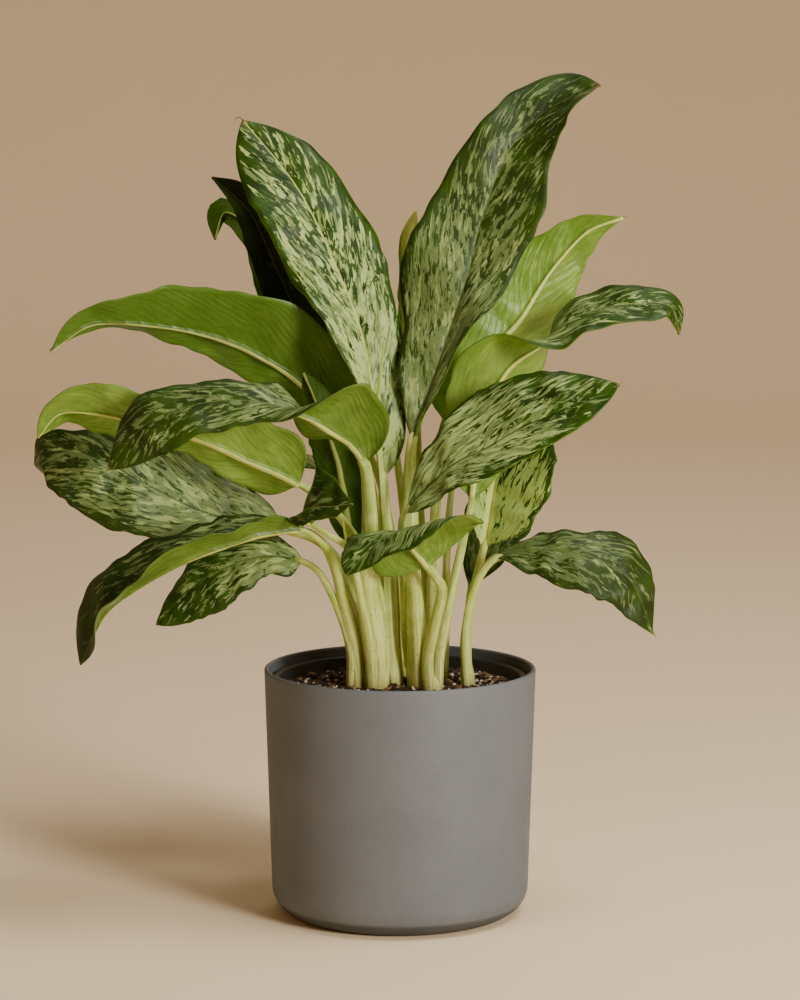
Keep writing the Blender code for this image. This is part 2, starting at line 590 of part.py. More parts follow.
def blade_point(leaf, spine, share, across):
    """A point of the upper side: share runs from base to tip, across from -1 at the left edge to 1."""
    place, up, right = spine.frame(share)
    side = 0 if across < 0 else 1
    taper = ends(share, leaf.get("tip", TIP_ROUNDING))
    width = blend(leaf[("left", "right")[side]], share) * taper
    width = max(width, BLADE_NECK / MM * (1 - share))
    fold = math.radians(blend(leaf["fold"][side], share))
    curl = math.radians(leaf["curl"][side])
    reach = abs(across)
    out = width * (math.sin(fold) - math.sin(fold - curl * reach)) / curl
    rise = width * (math.cos(fold - curl * reach) - math.cos(fold)) / curl
    height, waves, phase = leaf["wave"]
    turn = 2 * math.pi * (waves * share + phase) + LEFT_WAVE_LEAD * (1 - side)
    rise += height * taper * reach**2 * math.sin(turn)
    return place + right * math.copysign(out, across) + up * rise


def make_blade(leaf, collection):
    spine = Spine(leaf)
    length = spine.whole - spine.base
    rows = max(LEAST_ROWS, round(length / BLADE_ROW))
    columns = len(BLADE_COLUMNS) - 1
    shape = bmesh.new()
    bmesh.ops.create_grid(shape, x_segments=columns, y_segments=rows, size=1.0)
    thick = []
    start = leaf.get("seat", BLADE_SEAT) / length
    for vertex in shape.verts:
        across = BLADE_COLUMNS[round((vertex.co.x + 1) / 2 * columns)]
        row = (vertex.co.y + 1) / 2
        row -= END_ROWS_CLOSER * math.sin(2 * math.pi * row) / (2 * math.pi)
        share = start + (1 - start) * row
        vertex.co = Vector(blade_point(leaf, spine, min(share, 1.0), across)) * MM
        rib = RIB_THICKNESS * (1 - (1 - RIB_TIP_SHARE) * share)
        thick.append(rib if across == 0 else BLADE_THICKNESS)
    bmesh.ops.triangulate(shape, faces=shape.faces[:])
    mesh = bpy.data.meshes.new(leaf["name"])
    shape.to_mesh(mesh)
    shape.free()
    made = new_object(leaf["name"], mesh, collection, "leaf")
    group = made.vertex_groups.new(name="thickness")
    for index, value in enumerate(thick):
        group.add([index], value / RIB_THICKNESS, "REPLACE")
    weld = made.modifiers.new("tip", "WELD")
    weld.merge_threshold = TIP_WELD
    body = made.modifiers.new("body", "SOLIDIFY")
    body.thickness = RIB_THICKNESS
    body.offset = -1.0
    body.vertex_group = group.name
    return made


def ring_profile(name, collection):
    """A circle of unit radius, swept along each stalk."""
    circle = bpy.data.curves.new(name, "CURVE")
    circle.dimensions = "2D"
    line = circle.splines.new("POLY")
    line.points.add(STALK_SIDES - 1)
    line.use_cyclic_u = True
    for index, point in enumerate(line.points):
        angle = 2 * math.pi * index / STALK_SIDES
        point.co = (math.cos(angle), math.sin(angle), 0.0, 1.0)
    made = bpy.data.objects.new(name, circle)
    collection.objects.link(made)
    return made


def make_stalk(leaf, name, collection, swell=0.0):
    """A tapered tube along the leaf's stalk, fatter all round by the swell."""
    spine = Spine(leaf)
    count = max(LEAST_STALK_STEPS, round(spine.base / STALK_STEP))
    lengths = [spine.base * i / count for i in range(count + 1)]
    if "midrib" in leaf:
        lengths.insert(-1, spine.base - STALK_END)
    ring = ring_profile(name + "_ring", collection)
    curve = bpy.data.curves.new(name, "CURVE")
    curve.dimensions = "3D"
    curve.bevel_mode = "OBJECT"
    curve.bevel_object = ring
    curve.use_fill_caps = True
    line = curve.splines.new("POLY")
    line.points.add(len(lengths) - 1)
    for point, length in zip(line.points, lengths):
        radius = blend(leaf["thick"], min(1.0, length / spine.base))
        point.co = (*(spine.at(length) * MM), 1.0)
        point.radius = radius * MM + swell
    made = tube_mesh(curve, name, collection)
    bpy.data.objects.remove(ring, do_unlink=True)
    return made


def tube_mesh(curve, name, collection):
    """The curve's tube as a closed mesh object, in the curve's place."""
    guide = bpy.data.objects.new(name + "_curve", curve)
    collection.objects.link(guide)
    graph = bpy.context.evaluated_depsgraph_get()
    mesh = bpy.data.meshes.new_from_object(guide.evaluated_get(graph))
    shape = bmesh.new()
    shape.from_mesh(mesh)
    bmesh.ops.remove_doubles(shape, verts=shape.verts[:], dist=CAP_WELD)
    bmesh.ops.recalc_face_normals(shape, faces=shape.faces[:])
    shape.to_mesh(mesh)
    shape.free()
    made = bpy.data.objects.new(name, mesh)
    made.matrix_world = guide.matrix_world
    collection.objects.link(made)
    bpy.data.objects.remove(guide, do_unlink=True)
    bpy.data.curves.remove(curve)
    return made


def make_crown(name, collection, swell):
    """The swollen base that a shoot's stalks share, half sunk in the soil."""
    x, y, radius = SHOOTS[name]
    bpy.ops.mesh.primitive_uv_sphere_add(segments=CROWN_SEGMENTS, ring_count=CROWN_RINGS, radius=1.0)
    crown = bpy.context.active_object
    crown.name = name + "_crown"
    wide = radius * MM + swell
    crown.data.transform(Matrix.Diagonal((wide, wide, CROWN_HALF_HEIGHT + swell, 1.0)))
    crown.data.transform(Matrix.Translation((x * MM, y * MM, CROWN_MIDDLE)))
    for old in list(crown.users_collection):
        old.objects.unlink(crown)
    collection.objects.link(crown)
    return crown


def make_shoot(name, label, collection, swell=0.0):
    """All the stalks of a shoot and its crown, joined into one body."""
    stalks = [leaf for leaf in LEAVES + SPIKES if leaf["shoot"] == name]
    helpers = new_collection(label + "_stalks")
    make_crown(name, helpers, swell)
    shoot = make_stalk(stalks[0], label, collection, swell)
    for index, leaf in enumerate(stalks[1:]):
        make_stalk(leaf, f"{label}_stalk_{index}", helpers, swell)
    join = shoot.modifiers.new("join", "BOOLEAN")
    join.operation = "UNION"
    join.operand_type = "COLLECTION"
    join.solver = "MANIFOLD"
    join.collection = helpers
    apply_modifiers(shoot)
    for helper in list(helpers.objects):
        bpy.data.objects.remove(helper, do_unlink=True)
    bpy.data.collections.remove(helpers)
    shoot.data.materials.clear()
    return shoot


def make_holes(holes):
    """A cutter for each shoot's hole in the soil, a gap wider than the shoot all round."""
    for name in SHOOTS:
        hole = make_shoot(name, name.replace("shoot", "hole"), holes, swell=GAP)
        hole.hide_render = True
        hole.display_type = "WIRE"


def main():
    clear_scene()
    plant = new_collection("potted_chinese_evergreen")
    drains = new_collection("drain_cutters")
    holes = new_collection("hole_cutters")
    make_cover_pot(plant)
    make_nursery_pot(plant, drains)
    make_holes(holes)
    make_soil(plant, holes)
    for name in SHOOTS:
        shoot = make_shoot(name, name, plant)
        shoot.data.materials.append(new_material(name + "_finish", "stem"))
        shoot.data.shade_smooth()
    for leaf in LEAVES:
        make_blade(leaf, plant)


main()
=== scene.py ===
import math
import random

import bmesh
import bpy
import numpy as np
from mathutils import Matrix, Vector, noise


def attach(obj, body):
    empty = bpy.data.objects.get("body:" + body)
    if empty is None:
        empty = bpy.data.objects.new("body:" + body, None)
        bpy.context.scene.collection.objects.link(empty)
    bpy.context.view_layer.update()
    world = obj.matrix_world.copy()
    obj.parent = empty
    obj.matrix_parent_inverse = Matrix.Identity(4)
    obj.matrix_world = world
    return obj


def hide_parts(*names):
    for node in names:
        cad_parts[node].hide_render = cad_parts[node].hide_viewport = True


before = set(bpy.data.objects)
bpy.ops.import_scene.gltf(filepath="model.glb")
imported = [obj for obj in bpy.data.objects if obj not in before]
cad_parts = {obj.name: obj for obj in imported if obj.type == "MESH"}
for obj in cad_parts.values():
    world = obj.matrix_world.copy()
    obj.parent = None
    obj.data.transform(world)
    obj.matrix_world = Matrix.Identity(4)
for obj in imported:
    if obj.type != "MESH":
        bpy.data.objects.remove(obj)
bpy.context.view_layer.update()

mm = 0.001
curveSteps = 14  # points between two given ones
print("frame loaded:", len(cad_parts), "nodes")

# Small helpers

def keepPiece(piece, node):  # the piece stands for its CAD node, which is hidden
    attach(piece, "root")
    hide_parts(node)

def newPiece(name, mesh, *materials):
    piece = bpy.data.objects.new(name, mesh)
    bpy.context.scene.collection.objects.link(piece)
    for material in materials:
        mesh.materials.append(material)
    return piece

def meshFrom(name, shape):
    mesh = bpy.data.meshes.new(name)
    shape.to_mesh(mesh)
    shape.free()
    return mesh

def gridMesh(name, surface):  # a sheet through rows of points given in millimetres
    rows, columns = surface.shape[:2]
    shape = bmesh.new()
    bmesh.ops.create_grid(shape, x_segments=columns - 1, y_segments=rows - 1, size=1)
    mesh = meshFrom(name, shape)
    mesh.vertices.foreach_set("co", (surface * mm).astype(np.float32).ravel())
    mesh.update()
    return mesh

def addVectors(mesh, name, *parts):  # x, y and z of a value stored at each vertex
    layer = mesh.attributes.new(name, "FLOAT_VECTOR", "POINT")
    layer.data.foreach_set("vector", np.stack(np.broadcast_arrays(*parts), axis=-1).astype(np.float32).ravel())

def closeTube(mesh):  # joins a wrapped grid along its seam and caps both ends
    shape = bmesh.new()
    shape.from_mesh(mesh)
    bmesh.ops.remove_doubles(shape, verts=shape.verts[:], dist=0.000002)
    bmesh.ops.holes_fill(shape, edges=[edge for edge in shape.edges if edge.is_boundary])
    bmesh.ops.recalc_face_normals(shape, faces=shape.faces[:])
    shape.to_mesh(mesh)
    shape.free()
    mesh.shade_smooth()
    return mesh

def smoothThrough(points, steps=curveSteps):  # a smooth curve through the points
    points = np.asarray(points, float)
    points = np.vstack([2 * points[0] - points[1], points, 2 * points[-1] - points[-2]])
    t = np.linspace(0, 1, steps, endpoint=False)[:, None]
    curve = []
    for a, b, c, d in zip(points, points[1:], points[2:], points[3:]):
        before, span, after = (np.linalg.norm(q - p) ** 0.5 for p, q in ((a, b), (b, c), (c, d)))
        leave = c - b + span * ((b - a) / before - (c - a) / (before + span))
        arrive = c - b + span * ((d - c) / after - (d - b) / (span + after))
        curve.append(b + (c - b) * t * t * (3 - 2 * t) + leave * t * (1 - t) ** 2 - arrive * t * t * (1 - t))
    return np.vstack([*curve, points[-2]])

def blendAlong(values, shares):  # evenly spaced values, eased from one to the next
    values = np.atleast_2d(np.asarray(values, float).T).T
    if len(values) == 1:
        return np.repeat(values, len(shares), axis=0)
    place = np.clip(shares, 0, 1) * (len(values) - 1)
    low = np.minimum(place.astype(int), len(values) - 2)
    step = place - low
    step = (step * step * (3 - 2 * step))[:, None]
    return values[low] * (1 - step) + values[low + 1] * step

def aroundTurn(count):  # angles once round
    return np.linspace(0, math.tau, count + 1)

def unit(vectors):
    return vectors / np.linalg.norm(vectors, axis=-1, keepdims=True)

def ripple(turns, phase, shift, bend=0, rate=0):  # a sine whose length wanders by bend and rate
    angle = math.tau * (turns + phase) + shift
    return np.sin(angle + bend * np.sin(angle * rate))

# Shader helpers: each adds a node to the tree of the values it is given

def addNode(tree, kind, **settings):
    node = tree.nodes.new(kind)
    for key, value in settings.items():
        setattr(node, key, value)
    return node

def plug(value, socket):
    if isinstance(value, bpy.types.NodeSocket):
        socket.id_data.links.new(value, socket)
    else:
        socket.default_value = value

def plugAll(sockets, **values):
    for key, value in values.items():
        plug(value, sockets[key])

def fedNode(kind, *values, **settings):  # values for the inputs in order, None passes one over
    tree = next(value.id_data for value in values if isinstance(value, bpy.types.NodeSocket))
    node = addNode(tree, kind, **settings)
    for value, socket in zip(values, node.inputs):
        if value is not None:
            plug(value, socket)
    return node

def calc(operation, *values):
    return fedNode("ShaderNodeMath", *values, operation=operation).outputs[0]

def plus(first, *others):
    for value in others:
        first = calc("ADD", first, value)
    return first

def times(first, second):
    return calc("MULTIPLY", first, second)

def minus(first, second):
    return calc("SUBTRACT", first, second)

def fade(value, low, high, toLow=0, toHigh=1):  # a smooth step from low to high
    ends = (low, high, toLow, toHigh)
    return fedNode("ShaderNodeMapRange", value, *ends, interpolation_type="SMOOTHSTEP").outputs[0]

def mixColour(factor, first, second, kind="MIX"):
    unused = [None] * 5  # the node's number and vector inputs
    return fedNode("ShaderNodeMix", factor, *unused, first, second, data_type="RGBA", blend_type=kind).outputs[2]

def joinVector(*parts):
    return fedNode("ShaderNodeCombineXYZ", *parts).outputs[0]

def splitVector(value):
    return fedNode("ShaderNodeSeparateXYZ", value).outputs

def noiseAt(vector, scale, detail, roughness=0.55, distortion=0):
    node = fedNode("ShaderNodeTexNoise", vector)
    plugAll(node.inputs, Scale=scale, Detail=detail, Roughness=roughness, Distortion=distortion)
    return node.outputs[0]

def cellsAt(vector):  # distance to the nearest of scattered points, and a number of that point's own
    node = fedNode("ShaderNodeTexVoronoi", vector)
    plug(1, node.inputs["Scale"])
    return node.outputs["Distance"], splitVector(node.outputs["Color"])[0]

def attributeOf(tree, name):
    return addNode(tree, "ShaderNodeAttribute", attribute_name=name).outputs["Vector"]

def rgb(*parts):  # a colour as it looks on a screen, 0 to 255
    return tuple(((c / 255 + 0.055) / 1.055) ** 2.4 if c > 10 else c / 255 / 12.92 for c in parts) + (1,)

def newGroup(name, inputs, outputs):
    tree = bpy.data.node_groups.new(name, "ShaderNodeTree")
    for label, kind in inputs.items():
        tree.interface.new_socket(label, in_out="INPUT", socket_type="NodeSocket" + kind)
    for label in outputs:
        tree.interface.new_socket(label, in_out="OUTPUT", socket_type="NodeSocketFloat")
    return tree, addNode(tree, "NodeGroupInput").outputs, addNode(tree, "NodeGroupOutput").inputs

def useGroup(tree, group, **values):
    node = addNode(tree, "ShaderNodeGroup", node_tree=group)
    plugAll(node.inputs, **values)
    return node.outputs

def newMaterial(name, plain={}):  # plain values go straight onto the shader's own sockets
    material = bpy.data.materials.new(name)
    material.use_nodes = True
    tree = material.node_tree
    shader = tree.nodes["Principled BSDF"].inputs
    plugAll(shader, **plain)
    return material, tree, shader

def finish(shader, colour, roughness, height, distance, strength):  # colour, gloss and relief of a material
    bump = addNode(height.id_data, "ShaderNodeBump")
    plugAll(bump.inputs, Strength=strength, Distance=distance, Height=height)
    plugAll(shader, **{"Base Color": colour}, Roughness=roughness, Normal=bump.outputs[0])

# Effects that several finishes share

def makeGrainGroup():
    sizes = dict(position="Vector", grainSize="Float", cloudSize="Float")
    tree, given, out = newGroup("Fine Grain", sizes, ("grain", "cloud"))
    plug(noiseAt(given["position"], calc("DIVIDE", 1, given["grainSize"]), 4, 0.65), out["grain"])
    cloud = noiseAt(given["position"], calc("DIVIDE", 1, given["cloudSize"]), 3, 0.5)
    plug(fade(cloud, 0.3, 0.7), out["cloud"])
    return tree

fleckValues = dict(
    veinSlope=1.25, veinCurve=1, veinSpacing=10,
    fleckAcross=0.135, fleckAlong=0.30, cellAcross=0.19, cellAlong=0.34,
    streakAcross=0.10, streakAlong=0.13, patchAcross=0.07, patchAlong=0.05,
    marginStart=0.76, marginDark=0.17, tipDark=0.095, darkEdge=(0.538, 0.552), greyEdge=(0.445, 0.535),
    rimWidth=0.45, ribWidth=0.62,
)

def makeFleckGroup(v):  # masks of a blade's pattern, in the slanted run of its side veins
    tree, given, out = newGroup(
        "Vein Flecks", dict(place="Vector", share="Vector", tone="Vector", ribWide="Float"),
        ("dark", "grey", "rim", "rib", "vein", "quilt", "tip", "dullShade"),
    )
    x, y, halfWidth = splitVector(given["place"])
    across, share, seed = splitVector(given["share"])
    darkness, greyness, dullShade = splitVector(given["tone"])
    offMid = calc("ABSOLUTE", x)
    reach = calc("ABSOLUTE", across)
    run = minus(y, times(offMid, plus(times(reach, v["veinCurve"]), v["veinSlope"])))
    depth = plus(times(seed, 37), times(calc("SIGN", x), 7.3))  # each blade and each side its own pattern

    def along(name, shift):  # a place in the pattern, with its own scale across and along the veins
        return joinVector(times(run, v[name + "Across"]), times(offMid, v[name + "Along"]), plus(depth, shift))

    # ragged flecks, drawn out along the veins, thicker towards margin and tip
    flecks = noiseAt(along("fleck", 0), 1, 4, 0.62, 0.6)
    patchPlace = along("patch", 11)
    patches = noiseAt(patchPlace, 1, 2, 0.5)
    margin = fade(reach, v["marginStart"], 1, 0, v["marginDark"])
    amount = plus(flecks, margin, fade(share, 0.08, 1, -0.065, v["tipDark"]))
    amount = plus(amount, times(minus(patches, 0.5), 0.26), times(minus(darkness, 0.5), 0.30))
    # grey-green streaks between cream and dark
    streaks = noiseAt(along("streak", 23), 1, 4, 0.6, 0.8)
    streaks = plus(streaks, times(minus(greyness, 0.5), 0.35))
    plug(fade(plus(times(streaks, 0.6), times(amount, 0.4)), *v["greyEdge"]), out["grey"])
    # single flecks that grow and crowd where the leaf darkens
    jitter = times(minus(flecks, 0.5), 1.8)
    wander = times(minus(streaks, 0.5), 1.6)
    cell = (plus(times(run, v["cellAcross"]), jitter), plus(times(offMid, v["cellAlong"]), wander))
    distance, own = cellsAt(joinVector(*cell, depth))
    size = plus(times(own, 0.62), times(minus(amount, 0.665), 1.4))
    plug(calc("MAXIMUM", fade(amount, *v["darkEdge"]), fade(minus(size, distance), 0, 0.05)), out["dark"])
    plug(fade(minus(halfWidth, offMid), v["rimWidth"] * 0.5, v["rimWidth"], 1, 0), out["rim"])
    ribWide = times(fade(share, 0, 1, 1.6, 0.55), times(given["ribWide"], v["ribWidth"]))
    plug(fade(calc("DIVIDE", offMid, ribWide), 0.75, 1.15, 1, 0), out["rib"])
    # side veins as thin lines, and the blade swelling softly between them
    phase = plus(calc("DIVIDE", run, v["veinSpacing"]), times(noiseAt(patchPlace, 2, 1), 0.8))
    swell = calc("ABSOLUTE", calc("SINE", times(phase, math.pi)))
    plug(fade(swell, 0, 0.16, 1, 0), out["vein"])
    plug(times(calc("POWER", swell, 0.6), fade(reach, 0.75, 1, 1, 0.25)), out["quilt"])
    plug(fade(share, 0.975, 1), out["tip"])
    # the olive dulling, partly the leaf's own tone and partly painted shade on leaves in shadow
    plug(dullShade, out["dullShade"])
    return tree

grainGroup = makeGrainGroup()
fleckGroup = makeFleckGroup(fleckValues)

def grainOf(tree, place, grainSize, cloudSize):
    return useGroup(tree, grainGroup, position=place, grainSize=grainSize, cloudSize=cloudSize)

def startSolid(name, gloss, grainSize, cloudSize):  # what the finishes of pots, soil and floor begin with
    material, tree, shader = newMaterial(name, {"Specular IOR Level": gloss})
    place = addNode(tree, "ShaderNodeTexCoord").outputs["Object"]
    return material, shader, place, grainOf(tree, place, grainSize, cloudSize)

bladeFinish = dict(
    cream=rgb(168, 186, 112), grey=rgb(112, 132, 74), dark=rgb(50, 80, 8), deepDark=rgb(28, 48, 5),
    rim=rgb(116, 146, 44), rib=rgb(204, 212, 118), tipBrown=rgb(120, 92, 46), oliveShade=rgb(44, 48, 20),
    fresh=rgb(238, 250, 178), under=rgb(114, 146, 48), underPale=rgb(154, 180, 80), underDark=rgb(60, 94, 16),
    underRib=rgb(206, 214, 116), glow=(0.6, 1, 0.2),
)

def startBlade(name, glow, weight, depth, cloudSize, grainSize):  # what both faces of a blade begin with
    material, tree, shader = newMaterial(name, {
        "Subsurface Weight": weight, "Subsurface Scale": depth, "Subsurface Radius": glow,
    })
    place, share, tone, lines = (attributeOf(tree, "blade" + key) for key in ("Place", "Share", "Tone", "Lines"))
    ribPale, ribWide, fresh = splitVector(lines)
    marks = useGroup(tree, fleckGroup, place=place, share=share, tone=tone, ribWide=ribWide)
    own = dict(darkness=splitVector(tone)[0], ribPale=ribPale, fresh=fresh)
    return material, shader, marks, grainOf(tree, place, grainSize, cloudSize), own

def makeUpperFinish(v):
    material, shader, marks, fine, own = startBlade("bladeUpperFinish", v["glow"], 0.10, 0.002, 16, 0.9)
    darkTone = mixColour(fine["cloud"], v["deepDark"], v["dark"])
    colour = mixColour(marks["grey"], v["cream"], v["grey"])
    colour = mixColour(marks["dark"], colour, darkTone)
    colour = mixColour(times(marks["rim"], 0.35), colour, v["rim"])
    colour = mixColour(times(marks["vein"], 0.12), colour, v["dark"])
    colour = mixColour(times(marks["tip"], 0.7), colour, v["tipBrown"])
    # painted shade: leaves in shadow are mixed toward dark olive, over a dulled tone of their own
    colour = mixColour(marks["dullShade"], colour, v["oliveShade"])
    colour = mixColour(own["fresh"], colour, v["fresh"], "MULTIPLY")
    colour = mixColour(times(marks["rib"], 0.75), colour, mixColour(own["ribPale"], darkTone, v["rib"]))
    roughness = fade(plus(fine["grain"], times(marks["dark"], -0.12)), 0.2, 0.8, 0.38, 0.56)
    plug(fade(marks["dullShade"], 0.35, 0.75, 0.18, 0.02), shader["Specular IOR Level"])
    height = plus(times(marks["quilt"], 0.17), times(fine["grain"], 0.05))
    finish(shader, colour, roughness, height, 0.001, 0.8)
    return material

def makeUnderFinish(v):
    material, shader, marks, fine, own = startBlade("bladeUnderFinish", v["glow"], 0.28, 0.003, 20, 0.8)
    colour = mixColour(times(fine["cloud"], 0.6), v["under"], v["underPale"])
    # painted light and shade: the leaf's darkness draws its whole underside paler where it stands in light and
    # darker where it sits in shadow
    colour = mixColour(fade(own["darkness"], 0, 0.45, 0.8, 0), colour, v["underPale"])
    colour = mixColour(fade(own["darkness"], 0.5, 0.9, 0, 0.8), colour, v["underDark"])
    # the mix toward olive is painted shade over the leaf's own dulled tone; the other marks are its own colour
    for key, share, tone in (
        ("dark", 0.20, "underDark"), ("grey", 0.24, "underDark"), ("vein", 0.14, "underPale"),
        ("tip", 0.3, "tipBrown"), ("dullShade", 0.7, "oliveShade"),
    ):
        colour = mixColour(times(marks[key], share), colour, v[tone])
    colour = mixColour(times(marks["rib"], fade(marks["dullShade"], 0.5, 0.9, 1, 0.3)), colour, v["underRib"])
    plug(fade(marks["dullShade"], 0.35, 0.75, 0.30, 0.02), shader["Specular IOR Level"])
    height = plus(times(marks["quilt"], -0.30), times(fine["grain"], 0.06), times(fine["cloud"], 0.9))
    finish(shader, colour, fade(fine["grain"], 0.2, 0.8, 0.30, 0.44), height, 0.001, 0.8)
    return material

stalkFinish = dict(
    low=rgb(224, 226, 130), high=rgb(174, 194, 84), streak=rgb(126, 154, 48), pale=rgb(244, 238, 166),
    speck=rgb(104, 76, 34), shoot=rgb(166, 194, 56), glow=(0.8, 1, 0.35),
)

def makeStalkFinish(v):
    material, tree, shader = newMaterial("stalkFinish", {
        "Specular IOR Level": 0.42, "Subsurface Weight": 0.25, "Subsurface Scale": 0.003,
        "Subsurface Radius": v["glow"],
    })
    turn, length, share = splitVector(attributeOf(tree, "stalkPlace"))
    longways = joinVector(times(turn, 2.2), times(length, 0.016), share)
    streaks = fade(noiseAt(longways, 1.2, 4, 0.6, 0.4), 0.46, 0.58)
    fine = grainOf(tree, joinVector(times(turn, 3), length, 0), 1.3, 14)
    speck = fade(noiseAt(joinVector(times(turn, 4), length, 3), 0.9, 2), 0.65, 0.69)
    colour = mixColour(fade(share, 0.05, 0.85), v["low"], v["high"])
    colour = mixColour(times(streaks, 0.66), colour, v["streak"])
    colour = mixColour(times(fine["cloud"], 0.30), colour, v["pale"])
    colour = mixColour(times(speck, 0.7), colour, v["speck"])
    colour = mixColour(fade(share, 1.3, 1.6, 0, 0.85), colour, v["shoot"])  # the share goes over 1 up a spike
    colour = mixColour(fade(length, 12, 24, 0.6, 0), colour, v["speck"])
    height = plus(times(streaks, 0.16), times(fine["grain"], 0.05))
    finish(shader, colour, fade(fine["grain"], 0.2, 0.8, 0.34, 0.52), height, 0.001, 0.8)
    return material

upperFinish = makeUpperFinish(bladeFinish)
underFinish = makeUnderFinish(bladeFinish)
stalkSkin = makeStalkFinish(stalkFinish)
